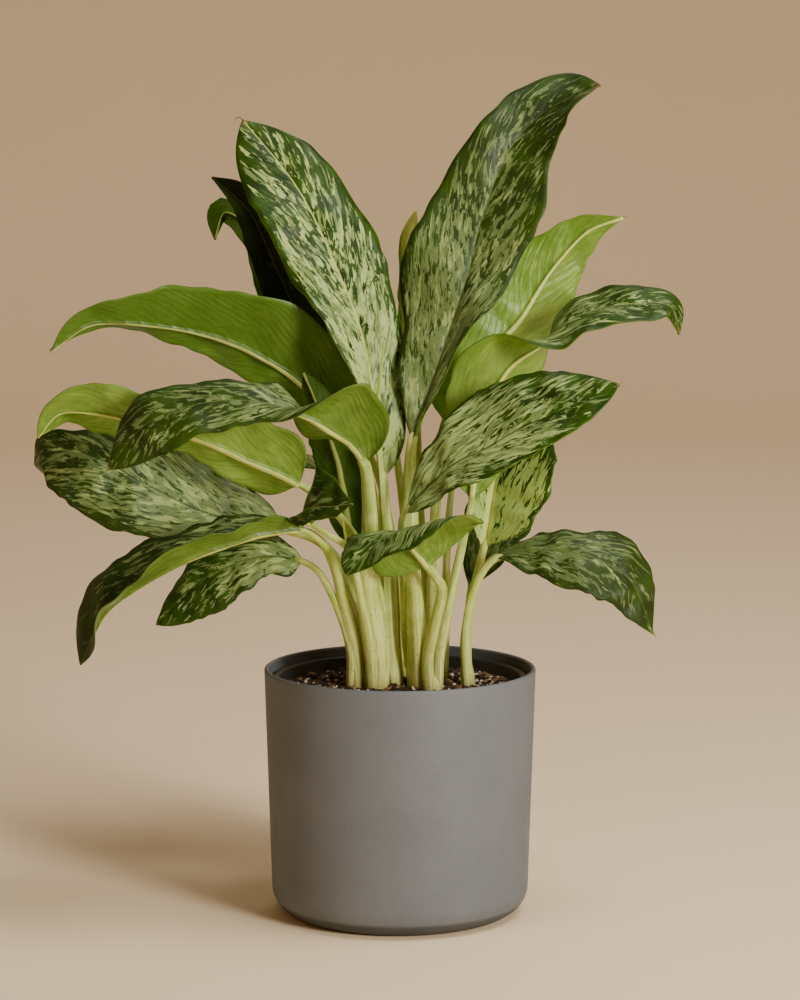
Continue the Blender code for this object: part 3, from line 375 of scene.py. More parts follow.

# The leaves, in millimetres: where the stalk leaves the soil, its thickness, the points that it and the midrib
# run through, then the blade's face, half widths, fold, curl and wave from base to tip. tone is how dark, grey
# and dulled it is, the darkening partly painted shade on leaves in shadow and a low darkness painting a paler,
# lit underside; rib how pale and wide the midrib is and how fresh the green. No right: the same as left.
usualLeaf = dict(
    fold=((15,), (15,)), curl=(20, 20), wave=(2, 2, 0.2), tone=(0.5, 0.5, 0), rib=(0.3, 0.8, 0), tip=0.12,
)
leafRows = dict(
    leaf_tall_left=dict(shoot="centre", foot=(-3.5, -4), thick=(5.8, 6, 4.6, 3.2), stalk=((-6, -5, 182),
        (-7, -6, 235), (-10, -4, 271)), midrib=((-11, -2, 288), (-16, 4, 333), (-25, 13, 381), (-40, 24, 420),
        (-67, 42, 474), (-104, 58, 519)), face=((0.25, -0.92, 0.25), (0.3, -0.85, 0.35), (0.25, -0.85, 0.45),
        (0.1, -0.8, 0.6)), left=(5, 12, 26, 34, 36, 33), right=(18, 20, 28, 36, 30, 21), fold=((60, 25, 8, 0),
        (20, 15, 10, 15)), wave=(2.5, 2.5, 0.1), tone=(0.52, 0.5, 0.04), rib=(0.9, 1, 0), tip=0.08),
    leaf_tall_right=dict(shoot="centre_right", foot=(10.5, -5), thick=(6, 6.8, 6, 3.4), stalk=((8, -8, 182),
        (7, -7, 235), (6, -4, 280)), midrib=((8, -2, 313), (19, 2, 344), (30, 8, 377), (43, 16, 416),
        (55, 28, 460), (74, 40, 503), (99, 46, 527), (131, 44, 542)), face=((-0.1, -0.97, 0.2),
        (-0.15, -0.93, 0.3), (-0.1, -0.85, 0.5), (-0.25, -0.75, 0.6)), left=(13, 28, 45, 34, 23, 26),
        right=(10, 12, 30, 41, 31, 38), fold=((15, 10, 20, 35, 10), (80, 45, 15, 25, 50)), curl=(25, 15),
        wave=(3, 3, 0.5), tone=(0.55, 0.75, 0.36), rib=(0.15, 0.8, 0), tip=0.04),
    leaf_front_left=dict(shoot="front_left", foot=(-14, -17), thick=(6.3, 7.4, 5.6, 4),
        stalk=((-15.5, -21, 185), (-21, -28, 225), (-19, -33, 258), (-20, -36, 282)), midrib=((-23, -38, 302),
        (-32, -43, 316), (-42, -50, 323), (-64, -60, 337), (-92, -66, 345), (-123, -69, 344), (-158, -70, 332),
        (-185, -66, 301)), face=((0.5, 0.6, 0.6), (0.25, 0.65, 0.7), (-0.1, -0.55, 0.85), (0, -0.75, 0.65),
        (-0.2, -0.85, 0.5), (-0.4, -0.8, 0.4)), left=(37, 46, 16, 23, 29, 30), right=(20, 24, 20, 21, 26, 31),
        fold=((45, 35, 5, 5, 5), (45, 40, 25, 20, 10)), curl=(40, 60), wave=(2, 2.5, 0.3),
        tone=(0.6, 0.75, 0.3), rib=(0.1, 0.7, 0)),
    leaf_arching_left=dict(shoot="back_left", foot=(-1, 18), thick=(4.2, 4.2, 3.4, 2.6), stalk=((-6, 22, 177),
        (-11, 26, 230), (-20, 32, 282)), midrib=((-35, 38, 318), (-63, 40, 344), (-88, 37, 362),
        (-123, 30, 378), (-161, 22, 386), (-202, 14, 387), (-227, 8, 371)), face=((0.3, 0.8, 0.5),
        (0.2, 0.8, 0.55), (0.1, 0.75, 0.65), (-0.1, 0.6, 0.75), (-0.6, 0.4, 0.6)),
        left=(33, 42, 46, 34, 26, 20), right=(15, 17, 22, 15, 14, 10), fold=((20, 15, 20, 20), (0, 0, 20, 30)),
        curl=(10, 30), wave=(3, 3, 0), tone=(0.76, 0.6, 0), rib=(0.6, 0.8, 0)),
    leaf_side_left=dict(shoot="centre", foot=(-8, -6), thick=(4.4, 4.6, 3, 2.4), stalk=((-9, -8, 182),
        (-19, -12, 229), (-40, -16, 266)), midrib=((-65, -18, 286), (-102, -24, 304), (-128, -28, 316),
        (-161, -30, 326), (-193, -28, 333), (-219, -24, 333), (-234, -20, 317)), face=((0.2, 0.75, 0.6),
        (0.1, 0.8, 0.6), (0, 0.8, 0.6), (-0.2, 0.7, 0.6), (-0.6, 0.5, 0.5)), left=(46, 35, 26, 22, 26, 20),
        right=(42, 22, 20, 18, 26, 30), curl=(10, 20), wave=(3, 2.5, 0.2), tone=(0.3, 0.6, 0),
        rib=(0.8, 1, 0.2)),
    leaf_broad_left=dict(shoot="front_left", foot=(-18, -12), thick=(4.5, 5.2, 3.6, 2.4), stalk=((-21, -6, 182),
        (-32, 0, 217), (-51, 5, 244)), midrib=((-77, 6, 253), (-105, 4, 259), (-130, 2, 266), (-166, 0, 284),
        (-207, 2, 305), (-233, 10, 306), (-241, 22, 294)), face=((0.1, -0.75, 0.65), (0.05, -0.78, 0.62),
        (-0.1, -0.78, 0.6), (-0.5, -0.7, 0.5), (-0.8, -0.5, 0.3)), left=(13, 20, 32, 40, 40, 48),
        right=(23, 31, 37, 30, 16, 22), fold=((5,), (10,)), curl=(30, 15), wave=(2, 2, 0.4),
        tone=(0.42, 0.72, 0.3), rib=(0, 0.8, 0)),
    leaf_drooping_left=dict(shoot="left", foot=(-27, -13), thick=(3.8, 5.4, 3.4, 2.4), stalk=((-31, -20, 185),
        (-37, -29, 214), (-43, -40, 238), (-52, -50, 255)), midrib=((-64, -58, 262), (-86, -66, 261),
        (-112, -74, 254), (-138, -78, 244), (-163, -78, 230), (-187, -74, 211), (-204, -66, 176)),
        face=((0, 0.15, 0.98), (0, 0, 1), (-0.1, -0.1, 1), (-0.4, -0.3, 0.85), (-0.75, -0.55, 0.3)),
        left=(14, 19, 25, 26, 23, 20), right=(13, 20, 25, 31, 35, 39), fold=((45, 40, 30, 10),
        (50, 50, 40, 10)), curl=(10, 20), wave=(1.5, 3, 0.6), tone=(0.66, 0.7, 0.36), rib=(0.2, 0.7, 0)),
    leaf_low_left=dict(shoot="left", foot=(-32, -14), thick=(3, 3.3, 2.6, 2.2), stalk=((-32, -20, 178),
        (-40, -26, 205), (-47, -31, 222), (-53, -34, 232)), midrib=((-63, -38, 239), (-87, -44, 243),
        (-109, -46, 237), (-132, -46, 224), (-157, -44, 198)), face=((0.1, -0.5, 0.85), (0, -0.7, 0.7),
        (-0.2, -0.8, 0.55), (-0.3, -0.85, 0.4)), left=(20, 13, 22, 26, 23, 20), right=(14, 18, 21, 18, 13, 10),
        fold=((0, 5, 5), (25, 15, 10)), curl=(40, 40), wave=(1.5, 2, 0.1), tone=(0.58, 0.75, 0.12),
        rib=(0.1, 0.7, 0)),
    leaf_small_front=dict(shoot="front_left", foot=(-18, -21), thick=(3.2, 3.6, 2.6, 1.8),
        stalk=((-20, -26, 179), (-25, -38, 213), (-34, -48, 249), (-47, -56, 259)), midrib=((-57, -62, 267),
        (-62, -72, 275), (-54, -86, 280), (-42, -98, 282), (-30, -106, 285)), face=((-0.3, 0.2, 0.9),
        (-0.2, -0.8, 0.5), (-0.1, -0.8, 0.5), (0.2, -0.8, 0.4)), left=(30, 31, 28, 23, 17, 13),
        right=(10, 11, 12, 11, 9, 7), fold=((10,), (10,)), wave=(1, 2, 0.1), tone=(0.74, 0.8, 0.3)),
    leaf_front_centre=dict(shoot="front_right", foot=(19, -24), thick=(3.6, 3.8, 3.6, 2.9),
        stalk=((18, -26, 172), (24, -32, 203), (27, -36, 220), (23, -40, 229)), midrib=((18, -44, 236),
        (7, -52, 251), (-2, -64, 262), (-17, -80, 254), (-34, -90, 237)), face=((0.25, 0.85, 0.4),
        (0.1, 0.1, 0.98), (-0.1, -0.5, 0.85), (-0.3, -0.8, 0.5)), left=(38, 53, 54, 39, 18, 10),
        right=(30, 33, 36, 34, 29, 26), fold=((30, 30, 20), (0,)), curl=(20, 40), wave=(1, 2, 0.3),
        tone=(0.44, 0.75, 0.2), rib=(0.3, 0.7, 0)),
    leaf_front_right=dict(shoot="centre_right", foot=(11, -14), thick=(5.4, 6.2, 5, 3), stalk=((11, -20, 184),
        (8, -26, 228), (2, -30, 258)), midrib=((4, -34, 270), (18, -40, 287), (35, -48, 303), (55, -56, 314),
        (76, -62, 327), (103, -68, 340), (120, -70, 348), (138, -70, 356)), face=((-0.3, -0.85, 0.4),
        (-0.2, -0.87, 0.45), (-0.15, -0.85, 0.5), (-0.1, -0.8, 0.6)), left=(6, 23, 47, 44, 38, 30),
        right=(20, 22, 28, 28, 25, 23), fold=((5, 0, 0), (45, 30, 15)), curl=(30, 10), wave=(1.5, 2, 0.5),
        tone=(0.42, 0.6, 0.05), rib=(0, 0.8, 0)),
    leaf_upright_right=dict(shoot="back_right", foot=(24, 14), thick=(4.2, 4.2, 3.4, 2.6), stalk=((22, 20, 177),
        (22, 22, 230), (25, 28, 283)), midrib=((30, 34, 322), (53, 42, 360), (78, 48, 386), (102, 54, 422),
        (125, 52, 446), (147, 46, 455)), face=((-0.1, 0.9, 0.4), (0, 0.9, 0.4), (0.1, 0.85, 0.5),
        (0.3, 0.75, 0.6)), left=(19, 25, 30, 28, 19, 13), right=(25, 33, 39, 33, 21, 12), fold=((15,),
        (15, 15, 50)), curl=(10, 10), wave=(2, 2, 0), rib=(0.5, 0.9, 0)),
    leaf_arching_right=dict(shoot="front_right", foot=(25, -20), thick=(3.2, 3.6, 3, 2.2),
        stalk=((26, -16, 177), (34, -12, 216), (41, -8, 248)), midrib=((47, -4, 275), (53, 4, 319),
        (68, 8, 356), (91, 6, 375), (116, 0, 394), (148, -6, 402), (175, -8, 400), (181, -8, 382)),
        face=((0.2, 0.9, 0.1), (0, 0.85, 0.4), (0, 0.65, 0.75), (0.05, -0.3, 0.95), (0.2, -0.5, 0.8),
        (0.8, -0.4, 0.4)), left=(18, 22, 27, 26, 24, 24), right=(22, 27, 36, 37, 28, 31), fold=((10, 10, 20),
        (10, 10, 10)), wave=(2, 2, 0.7), tone=(0.52, 0.65, 0.1), rib=(0.4, 0.9, 0)),
    leaf_inner_right=dict(shoot="right", foot=(46, 0), thick=(3.2, 3.2, 2.9, 2.6), stalk=((43, 2, 174),
        (47, 6, 206)), midrib=((55, 10, 242), (59, 13, 266), (63, 16, 288), (72, 22, 320), (85, 30, 342)),
        face=((-0.55, -0.8, 0.2), (-0.5, -0.8, 0.3), (-0.4, -0.8, 0.4)), left=(10, 15, 20, 20, 18, 16),
        right=(27, 37, 46, 46, 37, 33), fold=((70, 70, 60), (10, 10, 10)), curl=(10, 10), wave=(1.5, 2, 0.2),
        tone=(0.5, 0.3, 0), rib=(1, 4.2, 0.5)),
    leaf_shaded_right=dict(shoot="right", foot=(43, 4), thick=(2.8, 2.8, 2.4, 2), stalk=((43, 10, 172),
        (45, 22, 190)), midrib=((47, 34, 210), (57, 42, 241), (68, 50, 270), (80, 60, 299), (94, 72, 325)),
        face=((-0.2, -0.9, 0.3), (-0.2, -0.9, 0.4), (-0.2, -0.8, 0.5)), left=(7, 13, 20, 23, 20, 16),
        right=(9, 17, 27, 30, 26, 21), fold=((20,), (10,)), wave=(1.5, 2, 0.2), tone=(0.8, 0.7, 0.5)),
    leaf_low_right=dict(shoot="right", foot=(44, -5), thick=(3.8, 3.6, 3.1, 2.8), stalk=((43, -8, 175),
        (44, -12, 199), (48, -14, 216), (53, -16, 228)), midrib=((62, -18, 238), (84, -24, 244),
        (106, -30, 244), (128, -34, 239), (148, -34, 226), (164, -30, 190)), face=((-0.2, -0.3, 0.95),
        (0, -0.6, 0.8), (0.1, -0.7, 0.7), (0.4, -0.7, 0.55), (0.7, -0.6, 0.3)), left=(15, 17, 19, 31, 20, 9),
        right=(11, 19, 27, 27, 22, 18), fold=((10,), (0,)), curl=(25, 25), wave=(1.5, 2, 0.2),
        tone=(0.68, 0.78, 0.46), rib=(0.1, 0.8, 0)),
    leaf_dark_back_left=dict(shoot="back_left", foot=(-4, 22), thick=(3.4, 3.4, 2.8, 2.2), stalk=((-3, 32, 175),
        (-10, 42, 228), (-22, 54, 280)), midrib=((-37, 66, 325), (-64, 76, 378), (-84, 84, 421),
        (-102, 90, 458), (-126, 90, 480)), face=((-0.3, -0.8, 0.4), (-0.5, -0.7, 0.4), (-0.5, -0.6, 0.6)),
        left=(10, 14, 17, 16, 13, 10), right=(17, 24, 30, 29, 23, 18), fold=((40,), (40,)), curl=(10, 10),
        tone=(1, 0.9, 0.78)),
    leaf_curled_back_left=dict(shoot="back_left", foot=(1, 25), thick=(3.2, 3.2, 2.6, 2), stalk=((1, 36, 175),
        (-3, 50, 226), (-14, 68, 278)), midrib=((-33, 84, 320), (-60, 98, 373), (-88, 106, 422),
        (-109, 112, 450), (-120, 114, 455), (-126, 108, 437)), face=((0.2, 0.7, 0.6), (0.1, 0.6, 0.7),
        (-0.8, 0.4, 0.4), (-0.6, 0.8, -0.2)), left=(6, 9, 12, 13, 15, 19), right=(12, 16, 21, 19, 12, 10),
        fold=((20,), (20,)), curl=(10, 10), tone=(0.8, 0.8, 0.75)),
    # painted light, over a pale young leaf's own tone: a rib wide enough to cover the narrow blade and a low
    # darkness colour it pale all over
    leaf_narrow_back=dict(shoot="back_right", foot=(19, 18), thick=(3.2, 3.2, 2.4, 1.8), stalk=((20, 26, 176),
        (16, 34, 229), (13, 44, 281)), midrib=((12, 52, 320), (9, 60, 366), (7, 66, 412), (5, 68, 440),
        (11, 66, 459)), face=((0.1, 0.9, 0.3), (0.2, 0.9, 0.3)), left=(9, 13, 16, 15, 12, 10),
        right=(7, 10, 13, 13, 10, 8), fold=((40,), (40,)), curl=(10, 10), wave=(1, 2, 0.2), tone=(0.05, 0.5, 0),
        rib=(1, 14, 0)),
    leaf_inner_left=dict(shoot="centre", foot=(-7, 0), thick=(3.8, 3.6, 2.8, 2), stalk=((-13, 4, 173),
        (-23, 6, 206)), midrib=((-32, 10, 242), (-36, 13, 272), (-42, 16, 301), (-54, 18, 334), (-63, 18, 355)),
        face=((0.1, 0.9, 0.2), (0, 0.9, 0.3), (0, 0.9, 0.4)), left=(12, 15, 18, 18, 15, 13), fold=((30,),
        (30,)), curl=(10, 10), wave=(1, 2, 0.2), tone=(0.95, 0.8, 0.8)),
    leaf_rear_left=dict(shoot="back_left", foot=(5, 22), thick=(3.4, 3.4, 2.8, 2.2), stalk=((5, 40, 174),
        (5, 60, 225), (0, 84, 276)), midrib=((-8, 106, 318), (-28, 140, 360), (-50, 176, 384), (-66, 208, 380),
        (-76, 232, 350)), face=((0.3, -0.6, 0.75), (0.2, 0, 1), (-0.2, 0.6, 0.8), (-0.3, 0.8, 0.4)),
        left=(22, 28, 34, 33, 28, 24), fold=((20,), (20,))),
    leaf_rear_right=dict(shoot="back_right", foot=(26, 19), thick=(3.4, 3.4, 2.8, 2.2), stalk=((25, 34, 175),
        (23, 52, 226), (26, 77, 277)), midrib=((40, 92, 312), (52, 122, 350), (66, 156, 372), (78, 190, 366),
        (88, 216, 336)), face=((-0.3, -0.6, 0.75), (-0.2, 0, 1), (0.2, 0.6, 0.8), (0.3, 0.8, 0.4)),
        left=(21, 26, 32, 31, 27, 23), fold=((20,), (20,)), wave=(2, 2, 0.6)),
    leaf_rear_low_left=dict(shoot="back_left", foot=(-3, 27), thick=(3, 3, 2.5, 2), stalk=((-4, 40, 174),
        (-9, 56, 226), (-25, 76, 264)), midrib=((-48, 90, 282), (-75, 108, 290), (-104, 126, 292),
        (-135, 140, 282), (-159, 148, 261)), face=((0.2, -0.1, 1), (0, 0.1, 1), (-0.4, 0.4, 0.8),
        (-0.7, 0.6, 0.3)), left=(17, 21, 26, 25, 22, 19), curl=(30, 30), wave=(2, 2, 0.3)),
    leaf_rear_low_right=dict(shoot="back_right", foot=(29, 15), thick=(3, 3, 2.5, 2), stalk=((30, 28, 176),
        (31, 42, 228), (33, 56, 259)), midrib=((37, 70, 278), (55, 96, 294), (76, 120, 305), (97, 142, 309),
        (111, 160, 302)), face=((-0.2, -0.1, 1), (0, 0.1, 1), (0.4, 0.4, 0.8), (0.7, 0.6, 0.3)),
        left=(16, 20, 24, 23, 20, 17), curl=(30, 30), wave=(2, 2, 0.8)),
)

# Stalks with no blade: the rolled new leaf and the tip of a sheath
spikeRows = dict(
    rolled_new_leaf=dict(shoot="centre", foot=(-4, -9), thick=(3, 2.8, 1.8, 0.5),
        stalk=((-7, -10, 182), (-9, -11, 235), (-12, -10, 290), (-15, -7, 325), (-13, -5, 352), (-10, -2, 378))),
    sheath_tip=dict(shoot="front_left", foot=(-20, -16), thick=(3.2, 3.6, 2.2, 0.6),
        stalk=((-20, -13, 182), (-26, -17, 215), (-33, -20, 240), (-37, -22, 262))),
)

bladeValues = dict(
    rowSpacing=2.6, innerColumns=(0, 0.6, 1.2, 1.9, 2.8), outerColumns=9, neck=2.4, seat=0.2,
    baseRounding=0.05, thickness=0.62, ribDepth=2.5, ribTipShare=0.35, ribHalf=1.9, groove=0.45,
    frill=0.85, frillWaves=7, scallop=0.65, scallopWaves=8, buckle=1.5, buckleWaves=4.5,
)
soilTop = 149.5
stalkSink = 11

def spineOf(row):  # the line of stalk and midrib, its lengths, and the length at which the blade begins
    x, y = row["foot"]
    stalk = [(x, y, soilTop - stalkSink), (x, y, soilTop + 5), *row["stalk"]]
    points = smoothThrough(stalk + list(row.get("midrib", ())))
    lengths = np.concatenate([[0], np.cumsum(np.linalg.norm(np.diff(points, axis=0), axis=1))])
    return points, lengths, lengths[len(stalk) * curveSteps] if "midrib" in row else lengths[-1]

def sampleSpine(points, lengths, at):  # places on the line, and the way it runs there
    def placeAt(where):
        return np.stack([np.interp(where, lengths, points[:, k]) for k in range(3)], axis=1)

    return placeAt(at), unit(placeAt(at + 1.5) - placeAt(at - 1.5))

def makeBlade(name, row, v):
    points, lengths, base = spineOf(row)
    size = lengths[-1] - base
    shares = np.linspace(v["seat"] / size, 1, int(size / v["rowSpacing"]))
    shares = shares - 0.25 * np.sin(math.tau * shares) / math.tau
    down = shares[:, None]
    place, along = sampleSpine(points, lengths, base + shares * size)
    face = blendAlong(row["face"], shares)
    face = unit(face - np.sum(face * along, axis=1, keepdims=True) * along)
    right = np.cross(along, face)
    taper = (1 - np.exp(-down / v["baseRounding"])) * (1 - np.exp(-(1 - down) / row["tip"]))
    inner = np.array(v["innerColumns"])
    outer = np.linspace(0, 1, v["outerColumns"] + 1)[1:]
    height, waves, phase = row["wave"]
    rng = random.Random(name)
    start = rng.random()
    halves = []
    for side, sign, lag in (("left", -1, 1), ("right", 1, 0)):  # the left side's waves run out of step
        half = blendAlong(row.get(side, row["left"]), shares) * taper
        scallop = ripple(v["scallopWaves"] * down, 0.37 * start, 2.6 * lag, 1.7, 0.43)
        half = half + v["scallop"] * taper * np.minimum(1, half / 16) * scallop
        half = np.maximum(np.maximum(half, v["neck"] * (1 - down)), 0.05)
        near = inner * np.minimum(1, half / 7)
        out = np.hstack([near, near[:, -1:] + (half - near[:, -1:]) * outer])
        reach = out / half
        fold = np.radians(blendAlong(row["fold"][1 - lag], shares))
        curl = math.radians(row["curl"][1 - lag])
        sideways = half * (np.sin(fold) - np.sin(fold - curl * reach)) / curl
        rise = half * (np.cos(fold - curl * reach) - np.cos(fold)) / curl
        rise = rise + height * taper * reach**2 * ripple(waves * down, phase, 2.1 * lag)
        rise = rise + v["frill"] * taper * reach**4 * ripple(v["frillWaves"] * down, start, 1.3 * lag, 1.2, 0.37)
        buckle = ripple(v["buckleWaves"] * down, 1.7 * start, 2.9 * lag, 1.4, 0.41)
        belly = np.sin(math.pi * np.minimum(reach, 1)) * taper
        rise = rise + v["buckle"] * belly * buckle * np.minimum(1, half / 20)
        rise = rise - v["groove"] * np.exp(-((out / 1.3) ** 2)) * (1 - 0.5 * down)
        surface = right[:, None] * (sign * sideways)[..., None] + face[:, None] * rise[..., None] + place[:, None]
        halves.append((surface, sign * out, sign * reach, half + 0 * out))
    surface, across, reach, halfWidth = (np.concatenate([a[:, :0:-1], b], axis=1) for a, b in zip(*halves))
    mesh = gridMesh(name, surface)
    addVectors(mesh, "bladePlace", across, down * size, halfWidth)
    addVectors(mesh, "bladeShare", reach, down, rng.random())
    addVectors(mesh, "bladeTone", *(part + 0 * reach for part in row["tone"]))
    addVectors(mesh, "bladeLines", *(part + 0 * reach for part in row["rib"]))
    corners = np.zeros(len(mesh.loops), np.int32)
    mesh.loops.foreach_get("vertex_index", corners)
    flat = np.stack([reach * 0.5 + 0.5, down + 0 * reach], axis=-1).reshape(-1, 2)
    mesh.uv_layers.new(name="bladeMap").data.foreach_set("uv", flat[corners].astype(np.float32).ravel())
    mesh.shade_smooth()
    blade = newPiece(name + "_blade", mesh, upperFinish, underFinish)
    slim = 1 - (1 - v["ribTipShare"]) * down
    dome = np.sqrt(np.clip(1 - (across / (v["ribHalf"] * slim)) ** 2, 0, 1))
    depth = v["thickness"] + v["ribDepth"] * slim * dome
    most = v["thickness"] + v["ribDepth"]
    group = blade.vertex_groups.new(name="thickness")
    for index, value in enumerate(depth.ravel()):
        group.add([index], float(value / most), "REPLACE")
    body = blade.modifiers.new("body", "SOLIDIFY")
    body.thickness = most * mm
    body.offset = -1
    body.vertex_group = group.name
    body.material_offset = 1
    body.material_offset_rim = 0
    keepPiece(blade, name)

stalkValues = dict(
    around=20, rowSpacing=4, channel=0.30, channelWidth=0.50, wing=0.13, wingPlace=0.85, wingWidth=0.20,
    sheathEnd=0.62, sheathFade=0.12, overrun=5, ribWander=0.06, spikeFace=(0.2, -0.9, 0.3),
)

def makeStalk(name, row, v):  # a tapered stalk with a channel up its upper side and a winged sheath low down
    points, lengths, base = spineOf(row)
    end = base + v["overrun"] if "midrib" in row else base
    at = np.linspace(0, end, int(end / v["rowSpacing"]))
    place, along = sampleSpine(points, lengths, at)
    up = np.zeros_like(along)
    carried = unit(np.asarray(row["face"][0] if "face" in row else v["spikeFace"], float))
    for index in reversed(range(len(at))):  # carried down the stalk from the blade, with no twist
        carried = unit(carried - carried.dot(along[index]) * along[index])
        up[index] = carried
    right = np.cross(along, up)
    at = at[:, None]
    share = np.clip(at / base, 0, 1)
    radius = blendAlong(row["thick"], share[:, 0])
    if "midrib" in row:
        past = np.clip((at - base) / v["overrun"], 0, 1)
        radius = radius * (1 - 0.45 * past**2)
        place = place - up * (past * 1.1)
    turn = np.linspace(-math.pi, math.pi, v["around"] + 1)
    channel = v["channel"] * np.exp(-((turn / v["channelWidth"]) ** 2))
    wing = np.exp(-(((np.abs(turn) - v["wingPlace"]) / v["wingWidth"]) ** 2))
    sheath = np.clip((v["sheathEnd"] - share) / v["sheathFade"], 0, 1)
    shape = 1 - channel * (0.5 + 0.5 * share) + v["wing"] * sheath * wing
    seed = random.Random(name + "stalk").random() * 6
    ring = radius * (shape + v["ribWander"] * np.sin(3 * turn + at / 23 + seed))
    surface = place[:, None] + up[:, None] * (ring * np.cos(turn))[..., None]
    surface = surface + right[:, None] * (ring * np.sin(turn))[..., None]
    mesh = gridMesh("stalk", surface)
    addVectors(mesh, "stalkPlace", turn, at, share * (1 if "midrib" in row else 2))
    return closeTube(mesh)

crownRows = dict(  # x, y and radius
    left=(-29.5, -13.5, 3.6), front_left=(-16, -16, 6.8), centre=(-5, -4.5, 7), centre_right=(10.5, -9, 6.6),
    front_right=(22, -22, 5), right=(44.5, -0.5, 5.4), back_right=(24.5, 16.5, 6.4), back_left=(0, 22.5, 6.8),
)
crownValues = dict(halfHeight=13.5, middle=147, around=36, rows=22)

def makeCrown(x, y, radius, v):  # the ringed base that a shoot's stalks rise from
    turn = aroundTurn(v["around"])
    rise = np.linspace(-math.pi / 2 + 0.02, math.pi / 2 - 0.02, v["rows"])[:, None]
    out = radius * np.cos(rise) * (1 + 0.03 * np.sin(rise * 9 + 0.4 * np.sin(3 * turn)))
    height = v["middle"] + v["halfHeight"] * np.sin(rise) + 0 * turn
    mesh = gridMesh("crown", np.stack([x + out * np.cos(turn), y + out * np.sin(turn), height], axis=-1))
    addVectors(mesh, "stalkPlace", turn, (height - soilTop) + 12, 0)
    return closeTube(mesh)

def joinMeshes(name, meshes):
    shape = bmesh.new()
    for mesh in meshes:
        shape.from_mesh(mesh)
    joined = meshFrom(name, shape)
    joined.shade_smooth()
    return joined

# Drawn-out points of the blades that end in one: the steps on from the tip, in millimetres
tipSteps = dict(
    leaf_tall_left=((-1.7, 0, 1.2), (-3.8, 0.5, 0.9), (-4.9, 1, -0.8)),
    leaf_front_left=((-0.4, 0, -1.2), (-1, 0, -2.4)),
    leaf_arching_left=((-0.6, 0, -1.2), (-0.3, 0.2, -2.8)),
    leaf_front_right=((1.2, 0, 0.3), (2.6, 0, 0.8)),
    leaf_upright_right=((1.4, 0, 0.1), (3, 0, 0.4)),
    leaf_low_right=((0.7, 0, -1), (1.7, 0, -2.2)),
)
tipValues = dict(
    around=8, thick=0.75, thin=0.18, sunk=2, steps=6, brown=rgb(116, 92, 44), green=rgb(110, 134, 44),
)

def makeTipFinish(v):
    material, tree, shader = newMaterial("tipFinish")
    fine = grainOf(tree, attributeOf(tree, "tipPlace"), 0.6, 3)
    finish(shader, mixColour(fine["cloud"], v["green"], v["brown"]), 0.5, fine["grain"], 0.0003, 0.5)
    return material

def makeTip(row, steps, v):  # a short horn that narrows away from the blade's end
    points = spineOf(row)[0]
    end = points[-1]
    back = end - unit(end - points[-4]) * v["sunk"]
    path = smoothThrough([back, end] + [end + np.array(step) for step in steps], v["steps"])
    along = unit(np.gradient(path, axis=0))
    side = unit(np.cross(along, (0.3, 1, 0.2)))
    turn = aroundTurn(v["around"])[:, None]
    ring = side[:, None] * np.cos(turn) + np.cross(along, side)[:, None] * np.sin(turn)
    surface = path[:, None] + ring * np.linspace(v["thick"], v["thin"], len(path))[:, None, None]
    mesh = gridMesh("tip", surface)
    addVectors(mesh, "tipPlace", *np.moveaxis(surface, -1, 0))
    return closeTube(mesh)

for name, row in leafRows.items():
    makeBlade(name, {**usualLeaf, **row}, bladeValues)
tips = [makeTip(leafRows[name], steps, tipValues) for name, steps in tipSteps.items()]
tipPiece = newPiece("leaf_tips", joinMeshes("leaf_tips", tips), makeTipFinish(tipValues))
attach(tipPiece, "root")
print("blades made:", len(leafRows))

stalkRows = (leafRows | spikeRows).items()
for shoot, crown in crownRows.items():
    stalks = [makeStalk(name, row, stalkValues) for name, row in stalkRows if row["shoot"] == shoot]
    mesh = joinMeshes(shoot, stalks + [makeCrown(*crown, crownValues)])
    keepPiece(newPiece("shoot_" + shoot + "_stalks", mesh, stalkSkin), "shoot_" + shoot)
print("shoots made:", len(crownRows))

# The two pots

potValues = dict(
    height=163, rimRadius=89, sideRadius=84.5, footRadius=66, footRound=18.5, wall=3.2, floor=6, steps=160,
    colour=rgb(107, 110, 114), cloud=rgb(99, 102, 106), inside=rgb(58, 58, 58),
)
linerValues = dict(
    rimRadius=83.6, rimTop=157, rimDepth=8, rimWidth=3, baseRadius=63, wall=1.4, floor=2, steps=120,
    colour=rgb(28, 28, 29), dust=rgb(70, 64, 56),
)

def arcPoints(x, z, radii, start, end, count):
    angles = np.radians(np.linspace(start, end, count))
    return [(x + radii[0] * math.cos(a), z + radii[1] * math.sin(a)) for a in angles]

def turnedPiece(name, profile, steps, *materials):  # the profile runs up the inside and down the outside
    mesh = bpy.data.meshes.new(name)
    edges = [(i, i + 1) for i in range(len(profile) - 1)]
    mesh.from_pydata([(r * mm, 0, z * mm) for r, z in profile], edges, [])
    piece = newPiece(name, mesh, *materials)
    screw = piece.modifiers.new("turn", "SCREW")
    screw.steps = screw.render_steps = steps
    screw.use_merge_vertices = True
    screw.merge_threshold = 0.00001
    screw.use_smooth_shade = True
    return piece

def makePotFinish(v):
    material, shader, place, fine = startSolid("coverPotFinish", 0.35, 0.0011, 0.045)
    colour = mixColour(times(fine["cloud"], 0.55), v["colour"], v["cloud"])
    colour = mixColour(fade(fine["grain"], 0.35, 0.75, 0, 0.18), colour, v["inside"])
    x, y, z = splitVector(place)
    radius = calc("SQRT", plus(times(x, x), times(y, y)))
    inner = fade(minus(radius, times(z, 0.0276)), 0.0805, 0.0825, 1, 0)  # follows the slope of the wall
    # painted shade: the inside face of the wall, in the gap between the pots, is drawn dark
    colour = mixColour(times(inner, 0.8), colour, v["inside"])
    finish(shader, colour, fade(fine["cloud"], 0, 1, 0.54, 0.66), fine["grain"], 0.0001, 0.6)
    return material

